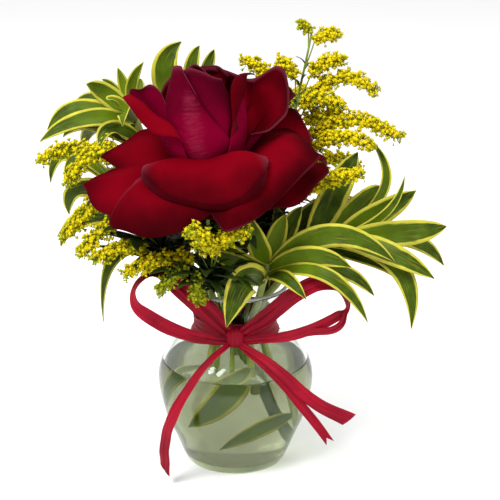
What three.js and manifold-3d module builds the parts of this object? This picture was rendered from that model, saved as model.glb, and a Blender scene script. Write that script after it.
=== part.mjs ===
// A fully opened red rose with goldenrod and variegated dracaena shoots. They stand in a small
// round-bellied glass vase that is part filled with water and tied at the neck with a ribbon bow.
// Millimetres, +Z up, +Y away from the viewer, origin at the centre of the vase's foot.

import * as THREE from "three";
import { mergeVertices } from "three/addons/utils/BufferGeometryUtils.js";
import Module from "manifold-3d";

const wasm = await Module();
wasm.setup();

// Driving dimensions
const GAP = 0.35; // clearance between two pieces that touch or stand in each other
const VASE = { height: 104, wall: 2, floor: 5, sides: 26 };
// The outer wall, as radius and height: foot, belly, neck and flared rim
const VASE_OUTLINE = [
  [25, 0], [28.2, 3.5], [33.2, 15.5], [38.8, 29], [42.5, 46], [41.2, 58], [35, 68],
  [26, 73.8], [21.6, 79.5], [22, 87], [25.4, 96], [29.8, VASE.height],
];
const WATER_LEVEL = 58.5;
// A dracaena blade: its channel is how far the edges rise, and its shape is the share of the width
// at the root, the share of the length where it is full, and how late it is drawn out to a point.
// One narrower than the slim width is flat across and has fewer stations.
const BLADE = {
  thickness: 0.7,
  stations: 4,
  slimStations: 3,
  slimWidth: 10,
  channel: 0.13,
  root: 0.22,
  fullAt: 0.42,
  pointed: 4.4,
  tip: 0.07,
};
const PETAL = { thickness: 0.8, across: 4, along: 3, seatRadius: 9, seatDepth: 2 };
// Florets of a plume: distance between rings, number in a ring, radius of the core they stand on,
// and how much their reach and their place in the ring vary
const FLORET = { spacing: 2.8, around: 3, coreRadius: 1.2, varies: 0.3, strays: 0.5, leans: 0.6 };
const ROSE = {
  seat: [-12, -12, 168], // where the petals leave the stem
  axis: [-11, -10, 61], // the way the bud points
  budHeight: 60,
  budRadius: 17,
};

const COLOURS = {
  glass: [0xdfe8e2, 0.05, 0.3],
  water: [0xc8d2c0, 0.05, 0.5],
  petal: [0x8f0018, 0.55, 1],
  stem: [0x4a6b2a, 0.6, 1],
  dracaena: [0x4c6a22, 0.4, 1],
  stalk: [0x6f8a30, 0.6, 1],
  goldenrod: [0xe0c000, 0.7, 1],
  ribbon: [0xa5152f, 0.5, 1],
};

// Vectors and curves
const vec = (p) => new THREE.Vector3(...p);
const mix = (a, b, t) => a + (b - a) * t;
const radians = THREE.MathUtils.degToRad;
const shares = (steps) => Array.from({ length: steps + 1 }, (_, k) => k / steps);
const splineThrough = (points) =>
  new THREE.CatmullRomCurve3(points.map(vec), false, "catmullrom", 0.5);
// A bow from one end to the other that passes through a point half way along
const bowThrough = (start, middle, end) =>
  new THREE.QuadraticBezierCurve3(
    start,
    middle.clone().multiplyScalar(2).addScaledVector(start, -0.5).addScaledVector(end, -0.5),
    end,
  );
const FACES = {
  up: [0, 0, 1],
  front: [0, -1, 0.15],
  frontUp: [0, -1, 1],
  frontLeft: [-0.7, -1, 0.3],
  frontRight: [0.7, -1, 0.3],
  left: [-1, -0.3, 0.2],
  right: [1, -0.3, 0.2],
  leftUp: [-1, -0.4, 1],
  rightUp: [1, -0.4, 1],
  back: [0, 1, 0.2],
  backUp: [0, 1, 1],
};

// A seeded draw, so that every build is the same
function seeded(seed) {
  let state = seed * 7919 + 13;
  return () => {
    state = (state * 16807) % 2147483647;
    return state / 2147483647;
  };
}

// A closed solid from vertices and triangles
function solidFrom(vertices, triangles) {
  const geometry = new THREE.BufferGeometry();
  geometry.setAttribute(
    "position",
    new THREE.Float32BufferAttribute(vertices.flatMap((v) => [v.x, v.y, v.z]), 3),
  );
  geometry.setIndex(triangles.flat());
  return solidOf(geometry);
}

function solidOf(geometry) {
  const bare = geometry.clone();
  bare.deleteAttribute("normal");
  bare.deleteAttribute("uv");
  const merged = mergeVertices(bare, 1e-4);
  const triVerts = new Uint32Array(merged.index.array);
  const build = () =>
    new wasm.Manifold(
      new wasm.Mesh({
        numProp: 3,
        vertProperties: new Float32Array(merged.attributes.position.array),
        triVerts,
      }),
    );
  const made = build();
  if (made.volume() >= 0) return made;
  for (let i = 0; i < triVerts.length; i += 3) {
    [triVerts[i + 1], triVerts[i + 2]] = [triVerts[i + 2], triVerts[i + 1]];
  }
  return build();
}

const unionOf = (solids) => wasm.Manifold.union(solids);

// The one body that is left when loose scraps and sealed hollows go
function mainBody(solid) {
  const bodies = solid.decompose().filter((b) => b.volume() > 0);
  return bodies.reduce((a, b) => (b.volume() > a.volume() ? b : a));
}

// A thin closed sheet about a grid of points. Both faces are split along the same diagonals.
function sheet(grid, thickness) {
  const rows = grid.length;
  const columns = grid[0].length;
  const at = (i, j) =>
    grid[Math.min(rows - 1, Math.max(0, i))][Math.min(columns - 1, Math.max(0, j))];
  const vertices = [[], []];
  for (let i = 0; i < rows; i += 1) {
    for (let j = 0; j < columns; j += 1) {
      const along = at(i + 1, j).clone().sub(at(i - 1, j));
      const across = at(i, j + 1).clone().sub(at(i, j - 1));
      const normal = across.cross(along).normalize();
      vertices[0].push(at(i, j).clone().addScaledVector(normal, thickness / 2));
      vertices[1].push(at(i, j).clone().addScaledVector(normal, -thickness / 2));
    }
  }
  const under = rows * columns;
  const index = (i, j) => i * columns + j;
  const triangles = [];
  for (let i = 0; i + 1 < rows; i += 1) {
    for (let j = 0; j + 1 < columns; j += 1) {
      const [a, b, c, d] = [index(i, j), index(i, j + 1), index(i + 1, j + 1), index(i + 1, j)];
      triangles.push([a, b, c], [a, c, d]);
      triangles.push([under + a, under + c, under + b], [under + a, under + d, under + c]);
    }
  }
  const border = [];
  for (let j = 0; j + 1 < columns; j += 1) border.push(index(0, j));
  for (let i = 0; i + 1 < rows; i += 1) border.push(index(i, columns - 1));
  for (let j = columns - 1; j > 0; j -= 1) border.push(index(rows - 1, j));
  for (let i = rows - 1; i > 0; i -= 1) border.push(index(i, 0));
  border.forEach((a, k) => {
    const b = border[(k + 1) % border.length];
    triangles.push([a, under + a, under + b], [a, under + b, b]);
  });
  return solidFrom([...vertices[0], ...vertices[1]], triangles);
}

// A round tube along a curve, its radius changing evenly from one end to the other
function tube(curve, startRadius, endRadius, sides, steps) {
  const frames = curve.computeFrenetFrames(steps, false);
  const vertices = [];
  for (let k = 0; k <= steps; k += 1) {
    const centre = curve.getPointAt(k / steps);
    const radius = mix(startRadius, endRadius, k / steps);
    for (let j = 0; j < sides; j += 1) {
      const turn = (j / sides) * Math.PI * 2;
      vertices.push(
        centre
          .clone()
          .addScaledVector(frames.normals[k], Math.cos(turn) * radius)
          .addScaledVector(frames.binormals[k], Math.sin(turn) * radius),
      );
    }
  }
  const triangles = [];
  for (let k = 0; k < steps; k += 1) {
    for (let j = 0; j < sides; j += 1) {
      const a = k * sides + j;
      const b = k * sides + ((j + 1) % sides);
      triangles.push([a, b, b + sides], [a, b + sides, a + sides]);
    }
  }
  for (let j = 1; j + 1 < sides; j += 1) {
    triangles.push([0, j + 1, j]);
    triangles.push([steps * sides, steps * sides + j, steps * sides + j + 1]);
  }
  return solidFrom(vertices, triangles);
}

function lathe(profile, sides) {
  const points = profile.map(([r, z]) => new THREE.Vector2(r, z));
  return solidOf(new THREE.LatheGeometry(points, sides).rotateX(Math.PI / 2));
}

// Vase: a lathed wall of even thickness on a thick flat foot
const outline = new THREE.SplineCurve(VASE_OUTLINE.map(([r, z]) => new THREE.Vector2(r, z)));
const OUTLINE_STEPS = 11;
const outerWall = outline.getPoints(OUTLINE_STEPS).map((p) => [p.x, p.y]);

function outerRadius(z) {
  const k = Math.max(1, outerWall.findIndex(([, height]) => height >= z));
  const [r0, z0] = outerWall[k - 1];
  const [r1, z1] = outerWall[k];
  return mix(r0, r1, (z - z0) / (z1 - z0));
}

// The wall moved by a distance along its normal, from the floor of the hollow up to a height
function wallMoved(distance, lowest, highest) {
  const moved = [];
  for (let k = 0; k <= OUTLINE_STEPS; k += 1) {
    const p = outline.getPoint(k / OUTLINE_STEPS);
    const t = outline.getTangent(k / OUTLINE_STEPS);
    moved.push([p.x + t.y * distance, p.y - t.x * distance]);
  }
  const cut = (z) => {
    const k = moved.findIndex(([, height]) => height > z);
    const [r0, z0] = moved[k - 1];
    const [r1, z1] = moved[k];
    return [mix(r0, r1, (z - z0) / (z1 - z0)), z];
  };
  const inside = moved.filter(([, z]) => z > lowest && z < highest);
  const top = moved.some(([, z]) => z > highest) ? [cut(highest)] : [];
  return [cut(lowest), ...inside, ...top];
}

function vaseSolid(grow) {
  const inner = wallMoved(-VASE.wall - grow, VASE.floor + grow, VASE.height);
  inner[inner.length - 1][1] = VASE.height + grow;
  const outer = outerWall.map(([r, z]) => [r + grow, z]);
  outer[outer.length - 1][1] = VASE.height + grow;
  const foot = [[0, -grow], [outer[0][0], -grow]];
  const floor = [0, VASE.floor + grow];
  return lathe([...foot, ...outer.slice(1), ...inner.reverse(), floor], VASE.sides);
}

function waterSolid() {
  const side = wallMoved(-VASE.wall - GAP, VASE.floor + GAP, WATER_LEVEL);
  return lathe([[0, VASE.floor + GAP], ...side, [0, WATER_LEVEL]], VASE.sides);
}

// Leafy shoots: a stem and its blades. A blade bows from its root on the stem through a point
// half way along to its tip, and its upper face looks the way that its last word says.
// Each row: share of the stem at the root, half-way point, tip, width, face, twist in degrees.
const SHOOTS = {
  dracaena_left: {
    stem: [[-12, 9, 51], [-10, 7, 80], [-25, 24, 125], [-45, 40, 160], [-57, 46, 187]],
    blades: [
      [0.961, [-82, 33, 186], [-106, 24, 176], 12, "frontUp", 20],
      [0.911, [-83, 44, 190], [-104, 42, 178], 11, "frontUp", -20],
      [0.949, [-76, 56, 192], [-91, 57, 188], 8, "frontUp", 0],
      [0.974, [-71, 47, 197], [-82, 45, 203], 12, "front", 10],
      [0.987, [-65, 37, 194], [-68, 25, 199], 10, "frontUp", 0],
      [0.961, [-66, 56, 196], [-75, 62, 202], 6, "front", 0],
      [0.987, [-61, 50, 199], [-65, 51, 211], 7, "front", 30],
      [0.987, [-57, 46, 202], [-50, 42, 216], 7, "front", 20],
      [0.937, [-54, 58, 195], [-53, 63, 202], 7, "front", 0],
      [0.961, [-58, 24, 193], [-60, 14, 187], 12, "leftUp", 0],
      [0.872, [-67, 32, 181], [-73, 17, 174], 11, "frontUp", 20],
      [0.822, [-76, 46, 180], [-95, 38, 175], 12, "frontUp", 0],
      [0.744, [-75, 62, 172], [-88, 72, 158], 12, "backUp", 0],
      [0.846, [-52, 66, 186], [-56, 84, 178], 12, "backUp", 10],
    ],
  },
  dracaena_back: {
    stem: [[0, 14, 49], [0, 11, 80], [-8, 32, 120], [-20, 50, 160], [-25, 54, 184]],
    blades: [
      [0.962, [-39, 54, 206], [-30, 58, 224], 16, "front", 0],
      [0.987, [-25, 59, 207], [-20, 62, 221], 9, "front", 0],
      [0.962, [-17, 64, 204], [-12, 66, 218], 8, "front", 10],
      [0.873, [-22, 76, 190], [-30, 92, 180], 12, "backUp", 0],
      [0.797, [0, 68, 180], [6, 88, 178], 12, "backUp", 0],
      [0.721, [-40, 70, 162], [-52, 84, 148], 12, "backUp", 0],
      [0.618, [4, 64, 150], [16, 84, 138], 12, "backUp", 0],
      [0.516, [-26, 64, 136], [-34, 82, 118], 12, "backUp", 0],
    ],
  },
  dracaena_low_left: {
    stem: [[-15, -2, 50], [-12, -1, 80], [-25, 6, 111], [-48, 14, 136], [-66, 22, 152]],
    blades: [
      [0.973, [-92, 33, 166], [-102, 30, 151], 9, "frontUp", 20],
      [0.933, [-84, 26, 166], [-93, 21, 153], 7, "frontUp", 20],
      [0.893, [-84, 18, 151], [-90, 10, 139], 12, "frontUp", 30],
      [0.787, [-80, 10, 137], [-94, 0, 124], 12, "frontUp", 0],
      [0.6, [-62, -6, 122], [-70, -22, 89], 10, "frontLeft", 60],
      [0.494, [-56, 30, 126], [-72, 36, 112], 12, "up", 20],
      [0.548, [-42, 32, 120], [-52, 46, 106], 12, "backUp", 0],
      [0.52, [-38, 22, 124], [-48, 34, 136], 11, "front", 0],
      [0, [-30, -6, 47], [-33, -5, 30], 8, "front", 0],
    ],
  },
  dracaena_front_right: {
    stem: [[9, -11, 44], [8, -10, 80], [13, -15, 101], [18, -16, 120]],
    blades: [
      [0.84, [5, -42, 119], [-4, -52, 98], 17, "front", 0],
      [0.855, [25, -37, 120], [37, -49, 112], 9, "frontUp", 60],
      [0.956, [40, -33, 130], [60, -42, 127], 12, "front", 20],
      [0.971, [51, -31, 141], [83, -37, 128], 13, "front", 20],
      [0.913, [47, -43, 123], [69, -45, 98], 9, "frontUp", 20],
      [0.986, [12, -22, 133], [8, -24, 149], 12, "front", 0],
      [0.986, [22, -14, 134], [27, -12, 146], 11, "front", 0],
      [0.942, [1, -28, 124], [-15, -27, 131], 11, "frontUp", 20],
      [0.971, [0, -25, 128], [-8, -19, 141], 9, "front", 0],
      [0.176, [-6, -24, 46], [-24, -25, 30], 15, "front", 0],
    ],
  },
  dracaena_right: {
    stem: [[31, -16, 28], [13, 0, 80], [23, -3, 104], [38, -6, 122], [54, -8, 132]],
    blades: [
      [0.844, [54, 6, 153], [66, 13, 173], 16, "front", 10],
      [0.967, [80, 5, 154], [72, 10, 181], 6.5, "frontLeft", 60],
      [0.955, [77, -4, 144], [96, -5, 157], 14, "front", 0],
      [0.978, [78, -14, 146], [89, -12, 167], 5, "front", 30],
      [0.911, [68, 8, 146], [80, 14, 153], 12, "front", 0],
      [0.989, [88, -19, 138], [111, -20, 142], 15, "front", 10],
      [0.967, [78, -26, 130], [104, -34, 118], 14, "frontUp", 30],
      [0.944, [88, -8, 132], [112, -8, 116], 12, "frontUp", 0],
      [0.922, [84, -24, 122], [93, -34, 90], 12, "frontUp", 70],
      [0.888, [78, -18, 120], [96, -20, 104], 8, "frontUp", 0],
      [0.777, [56, -28, 120], [73, -33, 108], 9, "frontUp", 0],
      [0.821, [62, 22, 132], [84, 36, 122], 13, "backUp", 0],
      [0.721, [44, 22, 128], [58, 46, 118], 13, "backUp", 0],
      [0.665, [25, 10, 124], [22, 18, 142], 12, "back", 0],
      [0.614, [33, 6, 130], [47, 10, 147], 14, "front", 0],
      [0.553, [26, 0, 128], [36, 2, 146], 12, "front", 0],
      [0.05, [12, -25, 30], [-8, -27, 18], 10, "front", 0],
    ],
  },
};
const STEM = { lower: 2.2, upper: 1.7, sides: 5, steps: 6 };

// Share of a blade's full width at a share of its length
function bladeWidth(s) {
  const base = 1 - (1 - BLADE.root) * (1 - Math.min(1, s / BLADE.fullAt)) ** 2;
  return Math.max(BLADE.tip, base * (1 - s ** BLADE.pointed));
}

function bladeGrid(root, middle, tip, width, face, twist) {
  const bow = bowThrough(root, vec(middle), vec(tip));
  const slim = width < BLADE.slimWidth;
  return shares(slim ? BLADE.slimStations : BLADE.stations).map((s) => {
    const centre = bow.getPoint(s);
    const along = bow.getTangent(s);
    const side = along.clone().cross(vec(FACES[face])).normalize();
    side.applyAxisAngle(along, radians(twist) * (s - 0.5));
    const normal = side.clone().cross(along);
    const half = (width / 2) * bladeWidth(s);
    return (slim ? [-1, 1] : [-1, 0, 1]).map((u) =>
      centre
        .clone()
        .addScaledVector(side, u * half)
        .addScaledVector(normal, Math.abs(u) * half * 2 * BLADE.channel),
    );
  });
}

function shootSolid({ stem, blades }, grow) {
  const curve = splineThrough(stem);
  const parts = [
    tube(curve, STEM.lower + grow, STEM.upper + grow, STEM.sides, STEM.steps),
  ];
  for (const [share, middle, tip, width, face, twist] of blades) {
    const root = curve.getPointAt(share);
    root.addScaledVector(vec(middle).sub(root).normalize(), STEM.upper / 2);
    const grid = bladeGrid(root, middle, tip, width + grow * 2, face, twist);
    parts.push(sheet(grid, BLADE.thickness + grow * 2));
  }
  return unionOf(parts);
}

// Rose: a wrapped bud in the middle of petals that rise, fold outward and hang.
// The bud is worked out about an upright axis and then leant over.
const roseTurn = new THREE.Quaternion().setFromUnitVectors(
  new THREE.Vector3(0, 0, 1),
  vec(ROSE.axis).normalize(),
);
const roseFrame = new THREE.Matrix4().compose(vec(ROSE.seat), roseTurn, vec([1, 1, 1]));

// Each petal is a fan of bows from the seat, through its crest half way, to its outer edge.
// Crest and edge are smooth lines through points, and run anticlockwise as seen from above.
const PETALS = {
  lip: {
    crest: [[-41, -32, 180], [-31, -34, 183], [-14, -34, 182], [2, -33, 186], [14, -30, 183]],
    edge: [
      [-49, -38, 178], [-48, -45, 174], [-36, -53, 169], [-20, -58, 165], [-6, -58, 164],
      [4, -56, 167], [12, -51, 172], [18, -44, 177], [18, -36, 182],
    ],
  },
  right: {
    crest: [[-12, -38, 172], [3, -39, 175], [17, -25, 182], [19, -8, 186], [9, 2, 183]],
    edge: [
      [-14, -54, 163], [-5, -62, 155], [-2, -63, 154], [14, -53, 159], [33, -38, 173],
      [44, -25, 180], [43, -20, 182], [37, -5, 186], [26, 8, 190],
    ],
  },
  low_left: {
    crest: [[-47, -31, 173], [-42, -39, 171], [-30, -41, 174], [-16, -39, 172]],
    edge: [
      [-62, -43, 161], [-63, -50, 154], [-57, -55, 151], [-44, -61, 150], [-29, -62, 152],
      [-18, -60, 157], [-9, -54, 162],
    ],
  },
  low_tip: {
    crest: [[-40, -20, 175], [-46, -27, 174], [-47, -32, 170]],
    edge: [
      [-60, -25, 175], [-70, -29, 172], [-77, -34, 169], [-76, -36, 167], [-70, -43, 160],
      [-60, -47, 156],
    ],
  },
  left: {
    crest: [[-27, 0, 181], [-36, -6, 183], [-39, -16, 178], [-32, -25, 172]],
    edge: [
      [-40, 5, 187], [-48, 0, 190], [-57, -6, 184], [-68, -13, 178], [-68, -15, 177],
      [-58, -21, 173], [-46, -30, 171],
    ],
  },
  left_ear: {
    crest: [[-37, -15, 188], [-35, -24, 185], [-29, -29, 181], [-20, -31, 176]],
    edge: [[-53, -14, 212], [-46, -19, 209], [-41, -23, 204], [-36, -26, 200], [-30, -28, 195]],
  },
  ear_back: {
    crest: [[-34, -8, 190], [-34, -18, 190], [-28, -26, 187]],
    edge: [
      [-54, -12, 211], [-52, -12, 214], [-47, -14, 216], [-42, -17, 217], [-37, -20, 214],
      [-34, -23, 207],
    ],
  },
  right_wrap: {
    crest: [[-4, -31, 182], [2, -25, 187], [6, -16, 192], [6, -7, 193]],
    edge: [[-1, -27, 197], [-2, -23, 206], [-3, -18, 213], [-3, -12, 219], [1, -5, 217]],
  },
  high_right: {
    crest: [[6, -14, 184], [14, -8, 188], [15, -1, 192], [6, 2, 195], [-2, 3, 196]],
    edge: [
      [8, -19, 192], [19, -16, 193], [28, -6, 200], [28, 3, 212], [22, 7, 221], [10, 2, 216],
      [-3, 3, 218],
    ],
  },
  high_back: {
    crest: [[5, 1, 196], [-4, 8, 198], [-13, 8, 198]],
    edge: [[11, -3, 216], [3, -1, 218], [-7, 1, 220], [-15, 2, 221], [-22, 4, 218]],
  },
  far_right: {
    crest: [[18, -3, 182], [18, 6, 188], [8, 11, 186]],
    edge: [[41, -4, 181], [39, 5, 187], [32, 12, 198], [23, 18, 197], [13, 23, 190]],
  },
  far_high: {
    crest: [[15, 0, 196], [14, 9, 199], [6, 13, 198]],
    edge: [[26, 1, 203], [31, 7, 206], [31, 14, 208], [23, 22, 213], [11, 24, 212]],
  },
  under_right: {
    crest: [[2, -34, 164], [14, -25, 169], [21, -15, 172], [22, -5, 172]],
    edge: [
      [4, -54, 156], [19, -46, 161], [33, -39, 161], [42, -29, 167], [49, -20, 171],
      [48, -5, 172],
    ],
  },
  under_front: {
    crest: [[-30, -30, 165], [-14, -35, 166], [0, -32, 165]],
    edge: [[-40, -46, 158], [-24, -54, 158], [-8, -55, 158], [6, -50, 157]],
  },
  under_left: {
    crest: [[-34, 0, 170], [-38, -11, 172], [-32, -22, 168]],
    edge: [[-56, 6, 168], [-66, -6, 166], [-64, -22, 161], [-50, -34, 157]],
  },
  back_tip: {
    crest: [[-6, 3, 202], [-16, 6, 204], [-24, 1, 202]],
    edge: [[-3, -3, 218], [-9, 1, 222], [-17, 3, 222], [-26, -1, 218]],
  },
  back_left: {
    crest: [[-22, 4, 198], [-31, -2, 198], [-33, -11, 193]],
    edge: [[-24, 8, 216], [-30, 4, 218], [-35, -2, 215], [-38, -7, 210], [-40, -13, 204]],
  },
  back_high: {
    crest: [[1, 6, 198], [-16, 12, 201], [-33, 2, 197]],
    edge: [[15, 15, 203], [8, 27, 204], [-14, 32, 200], [-35, 25, 202], [-46, 11, 199]],
  },
  back: {
    crest: [[7, 10, 192], [-4, 20, 195], [-21, 14, 191]],
    edge: [[24, 20, 188], [17, 38, 184], [-4, 47, 181], [-24, 42, 183], [-37, 28, 187]],
  },
  back_low_left: {
    crest: [[-16, 17, 183], [-34, 14, 185], [-38, -1, 182]],
    edge: [[-12, 44, 175], [-33, 43, 172], [-51, 32, 172], [-61, 15, 174], [-60, 1, 178]],
  },
  back_low_right: {
    crest: [[21, -3, 178], [19, 11, 181], [0, 17, 180]],
    edge: [[47, -5, 173], [49, 12, 170], [39, 30, 167], [21, 42, 168], [0, 45, 173]],
  },
};

// Bud petals wrap the axis between two angles at half their height and lean with height.
// tip: how far across the petal its tip is.
const BUD_PETALS = [
  { from: 150, to: 304, slant: 92, height: 65.5, tip: 0.96 },
  { from: 240, to: 374, slant: 20, height: 63, tip: 0.3 },
  { from: 10, to: 172, slant: 60, height: 60, tip: 0.5 },
];
// A bud petal is tucked in at its first margin, stands off at its last, and falls away from its
// tip to both sides. The core of the bud stands clear inside the petals.
const BUD_EDGE = { tuck: 0.6, lift: 2.2, fall: 0.2, coreInset: 2.8 };

function petalGrid({ crest, edge }) {
  const crestLine = splineThrough(crest);
  const edgeLine = splineThrough(edge);
  const seat = vec(ROSE.seat);
  const columns = shares(PETAL.across).map((across) => {
    const end = edgeLine.getPoint(across);
    const root = end.clone().sub(seat).setZ(0).setLength(PETAL.seatRadius).add(seat);
    root.z -= PETAL.seatDepth;
    return bowThrough(root, crestLine.getPoint(across), end);
  });
  return shares(PETAL.along).map((share) => columns.map((column) => column.getPoint(share)));
}

// Radius of the bud at a share of its height: part of a sine's arch, from the base to the tip
const BUD_ARCH = { base: 0.18, tip: 0.92, fullness: 0.9 };
const budRadius = (s) =>
  ROSE.budRadius * Math.sin(Math.PI * mix(BUD_ARCH.base, BUD_ARCH.tip, s)) ** BUD_ARCH.fullness;

function budGrid({ from, to, slant, height, tip }) {
  return shares(PETAL.along).map((share) =>
    shares(PETAL.across).map((across) => {
      const away = across < tip ? (tip - across) / tip : (across - tip) / (1 - tip);
      const s = share * (1 - BUD_EDGE.fall * away ** 2);
      const turn = radians(mix(from, to, across) + slant * (0.5 - s));
      const r = budRadius(s) - BUD_EDGE.tuck + BUD_EDGE.lift * across;
      return new THREE.Vector3(Math.cos(turn) * r, Math.sin(turn) * r, s * height);
    }),
  );
}

// The petals' seat, as radius and height above it, and the core that stands on it
const HEAD_BASE = [[0, -5], [11, -4], [12, 2]];
const HEAD = { sides: 10, rings: [0.2, 0.4, 0.6, 0.8], top: 0.94 };

function bloomSolid(grow) {
  const inside = HEAD.rings.map((s) => [
    budRadius(s) - BUD_EDGE.coreInset + grow,
    s * ROSE.budHeight,
  ]);
  const core = [...HEAD_BASE, ...inside, [0, ROSE.budHeight * HEAD.top]];
  const thickness = PETAL.thickness + grow * 2;
  const bud = [
    lathe(core, HEAD.sides),
    ...BUD_PETALS.map((petal) => sheet(budGrid(petal), thickness)),
  ];
  const petals = Object.values(PETALS).map((petal) => sheet(petalGrid(petal), thickness));
  return unionOf([unionOf(bud).transform(roseFrame.elements), ...petals]);
}

// Rose stem: the stalk, the swollen hip under the seat, and five drooping sepals
const ROSE_STEM = [[22, 5, 13], [-2, -2, 80], [-6, -7, 120], [-11, -11, 159]];
const ROSE_STALK = { lower: 2.5, upper: 2.4, sides: 6, steps: 6 };
// The hip, as radius and height about the seat
const HIP = { outline: [[0, -14], [2.6, -13], [5.6, -9], [6, -5.4], [0, -5]], sides: 8 };
// A sepal's root is a radius and a height. It loses most of its width, by a power of the way.
const SEPAL = {
  count: 5,
  thickness: 0.9,
  width: 7,
  reach: 18,
  drop: 19,
  root: [3, -7],
  narrows: 0.88,
  pointed: 2.4,
};

function sepalGrid(turn, grow) {
  const side = new THREE.Vector3(-Math.sin(turn), Math.cos(turn), 0);
  return shares(2).map((s) => {
    const r = SEPAL.root[0] + SEPAL.reach * s;
    const centre = new THREE.Vector3(
      Math.cos(turn) * r,
      Math.sin(turn) * r,
      SEPAL.root[1] - SEPAL.drop * s * s,
    );
    const half = (SEPAL.width / 2) * (1 - SEPAL.narrows * s ** SEPAL.pointed) + grow;
    return [-1, 0, 1].map((u) => centre.clone().addScaledVector(side, u * half));
  });
}

function roseStemSolid(grow) {
  const { lower, upper, sides, steps } = ROSE_STALK;
  const stalk = tube(splineThrough(ROSE_STEM), lower + grow, upper + grow, sides, steps);
  const hip = lathe(HIP.outline.map(([r, z]) => [r && r + grow, z]), HIP.sides);
  const sepals = Array.from({ length: SEPAL.count }, (_, k) => {
    const turn = ((k + 0.5) / SEPAL.count) * Math.PI * 2;
    return sheet(sepalGrid(turn, grow), SEPAL.thickness + grow * 2);
  });
  return unionOf([stalk, unionOf([hip, ...sepals]).transform(roseFrame.elements)]);
}

// Goldenrod: green stalks with branches, each ending in a plume of florets round a slim core.
// A stalk is a list of points; a branch leaves it at a share of its length and becomes a plume
// that bows through a point half way along to its end. Each plume row: stalk share, start of the
// florets, half-way point, end, radius of the plume.
const GOLDENROD = {
  goldenrod_right: {
    stalk: [
      [7, 14, 49], [6, 12, 80], [16, 30, 125], [28, 44, 167], [36, 47, 202], [40, 46, 222],
      [42, 46, 233],
    ],
    plumes: [
      [0.915, [43, 45, 226], [49, 45, 229], [56, 45, 230], 4.2],
      [0.975, [40, 46, 231], [38, 46, 234], [35, 45, 236], 2.4],
      [0.806, [41, 42, 208], [49, 39, 215], [59, 38, 217], 4.4],
      [0.806, [33, 44, 206], [29, 44, 211], [24, 47, 215], 4.6],
      [0.734, [42, 41, 196], [59, 35, 208], [75, 30, 201], 4.4],
      [0.709, [38, 37, 191], [46, 29, 198], [57, 25, 195], 5.2],
      [0.661, [38, 38, 182], [47, 37, 187], [57, 37, 189], 4.8],
      [0.587, [42, 32, 175], [62, 24, 187], [88, 15, 180], 5],
      [0.563, [42, 28, 169], [57, 15, 180], [73, 5, 177], 4.4],
      [0.515, [34, -4, 153], [50, -7, 162], [67, -8, 166], 5],
      [0.394, [40, 32, 136], [54, 26, 138], [67, 22, 142], 3.6],
      [0.757, [22, 52, 198], [14, 56, 208], [4, 60, 212], 4.4],
      [0.686, [32, 60, 186], [36, 74, 190], [44, 86, 184], 4.6],
      [0.587, [22, 60, 166], [16, 76, 170], [8, 90, 164], 4.6],
      [0.49, [40, 52, 152], [56, 58, 156], [70, 62, 148], 4.6],
    ],
  },
  goldenrod_left: {
    stalk: [
      [-11, -11, 51], [-9, -10, 80], [-18, -13, 104], [-42, -13, 130], [-62, -6, 158],
      [-68, 0, 168],
    ],
    plumes: [
      [0.973, [-74, 2, 173], [-88, 3, 177], [-102, 0, 171], 4.6],
      [0.961, [-68, -3, 172], [-76, -9, 176], [-86, -12, 163], 4.8],
      [0.816, [-68, -9, 158], [-78, -14, 146], [-90, -16, 134], 4.6],
      [0.711, [-60, -16, 142], [-70, -20, 138], [-80, -23, 127], 4.6],
      [0.554, [-46, -22, 130], [-60, -28, 131], [-73, -29, 126], 4.8],
      [0.895, [-65, 8, 166], [-68, 20, 172], [-75, 31, 170], 4.4],
      [0.607, [-46, 0, 143], [-49, 12, 151], [-54, 24, 156], 4.4],
    ],
  },
  goldenrod_front: {
    stalk: [[-2, -15, 50], [-2, -13, 80], [-8, -23, 103], [-13, -37, 124]],
    plumes: [
      [0.848, [-20, -34, 128], [-40, -36, 127], [-56, -38, 121], 4.8],
      [0.818, [-24, -39, 124], [-31, -42, 121], [-38, -42, 113], 4.4],
      [0.909, [-16, -42, 121], [-19, -44, 118], [-18, -45, 109], 4.2],
      [0.985, [-11, -46, 137], [-16, -61, 148], [-22, -66, 155], 5.6],
      [0.985, [-8, -43, 137], [-2, -52, 146], [8, -55, 150], 4.4],
      [0.985, [-20, -28, 135], [-25, -18, 142], [-32, -8, 142], 4.4],
    ],
  },
};
// fork: how much nearer the foot a branch starts than its row says, as a share of the stalk
const STALK = { lower: 1.5, upper: 0.8, sides: 4, steps: 10, fork: 0.03 };
const BRANCH = { radius: 0.75, sides: 3 };

function stalkSolid({ stalk, plumes }, grow) {
  const curve = splineThrough(stalk);
  const parts = [tube(curve, STALK.lower + grow, STALK.upper + grow, STALK.sides, STALK.steps)];
  for (const [share, start, middle] of plumes) {
    const root = curve.getPointAt(share - STALK.fork);
    const away = vec(middle).sub(vec(start)).normalize();
    const seat = vec(start).addScaledVector(away, -GAP);
    const branch = new THREE.LineCurve3(root, seat);
    parts.push(tube(branch, BRANCH.radius + grow, BRANCH.radius + grow, BRANCH.sides, 1));
  }
  return unionOf(parts);
}

// Fullness along a plume: part of a sine's arch, which swells it beyond its least share
const PLUME_ARCH = { start: 0.22, end: 0.92, least: 0.5 };

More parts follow.
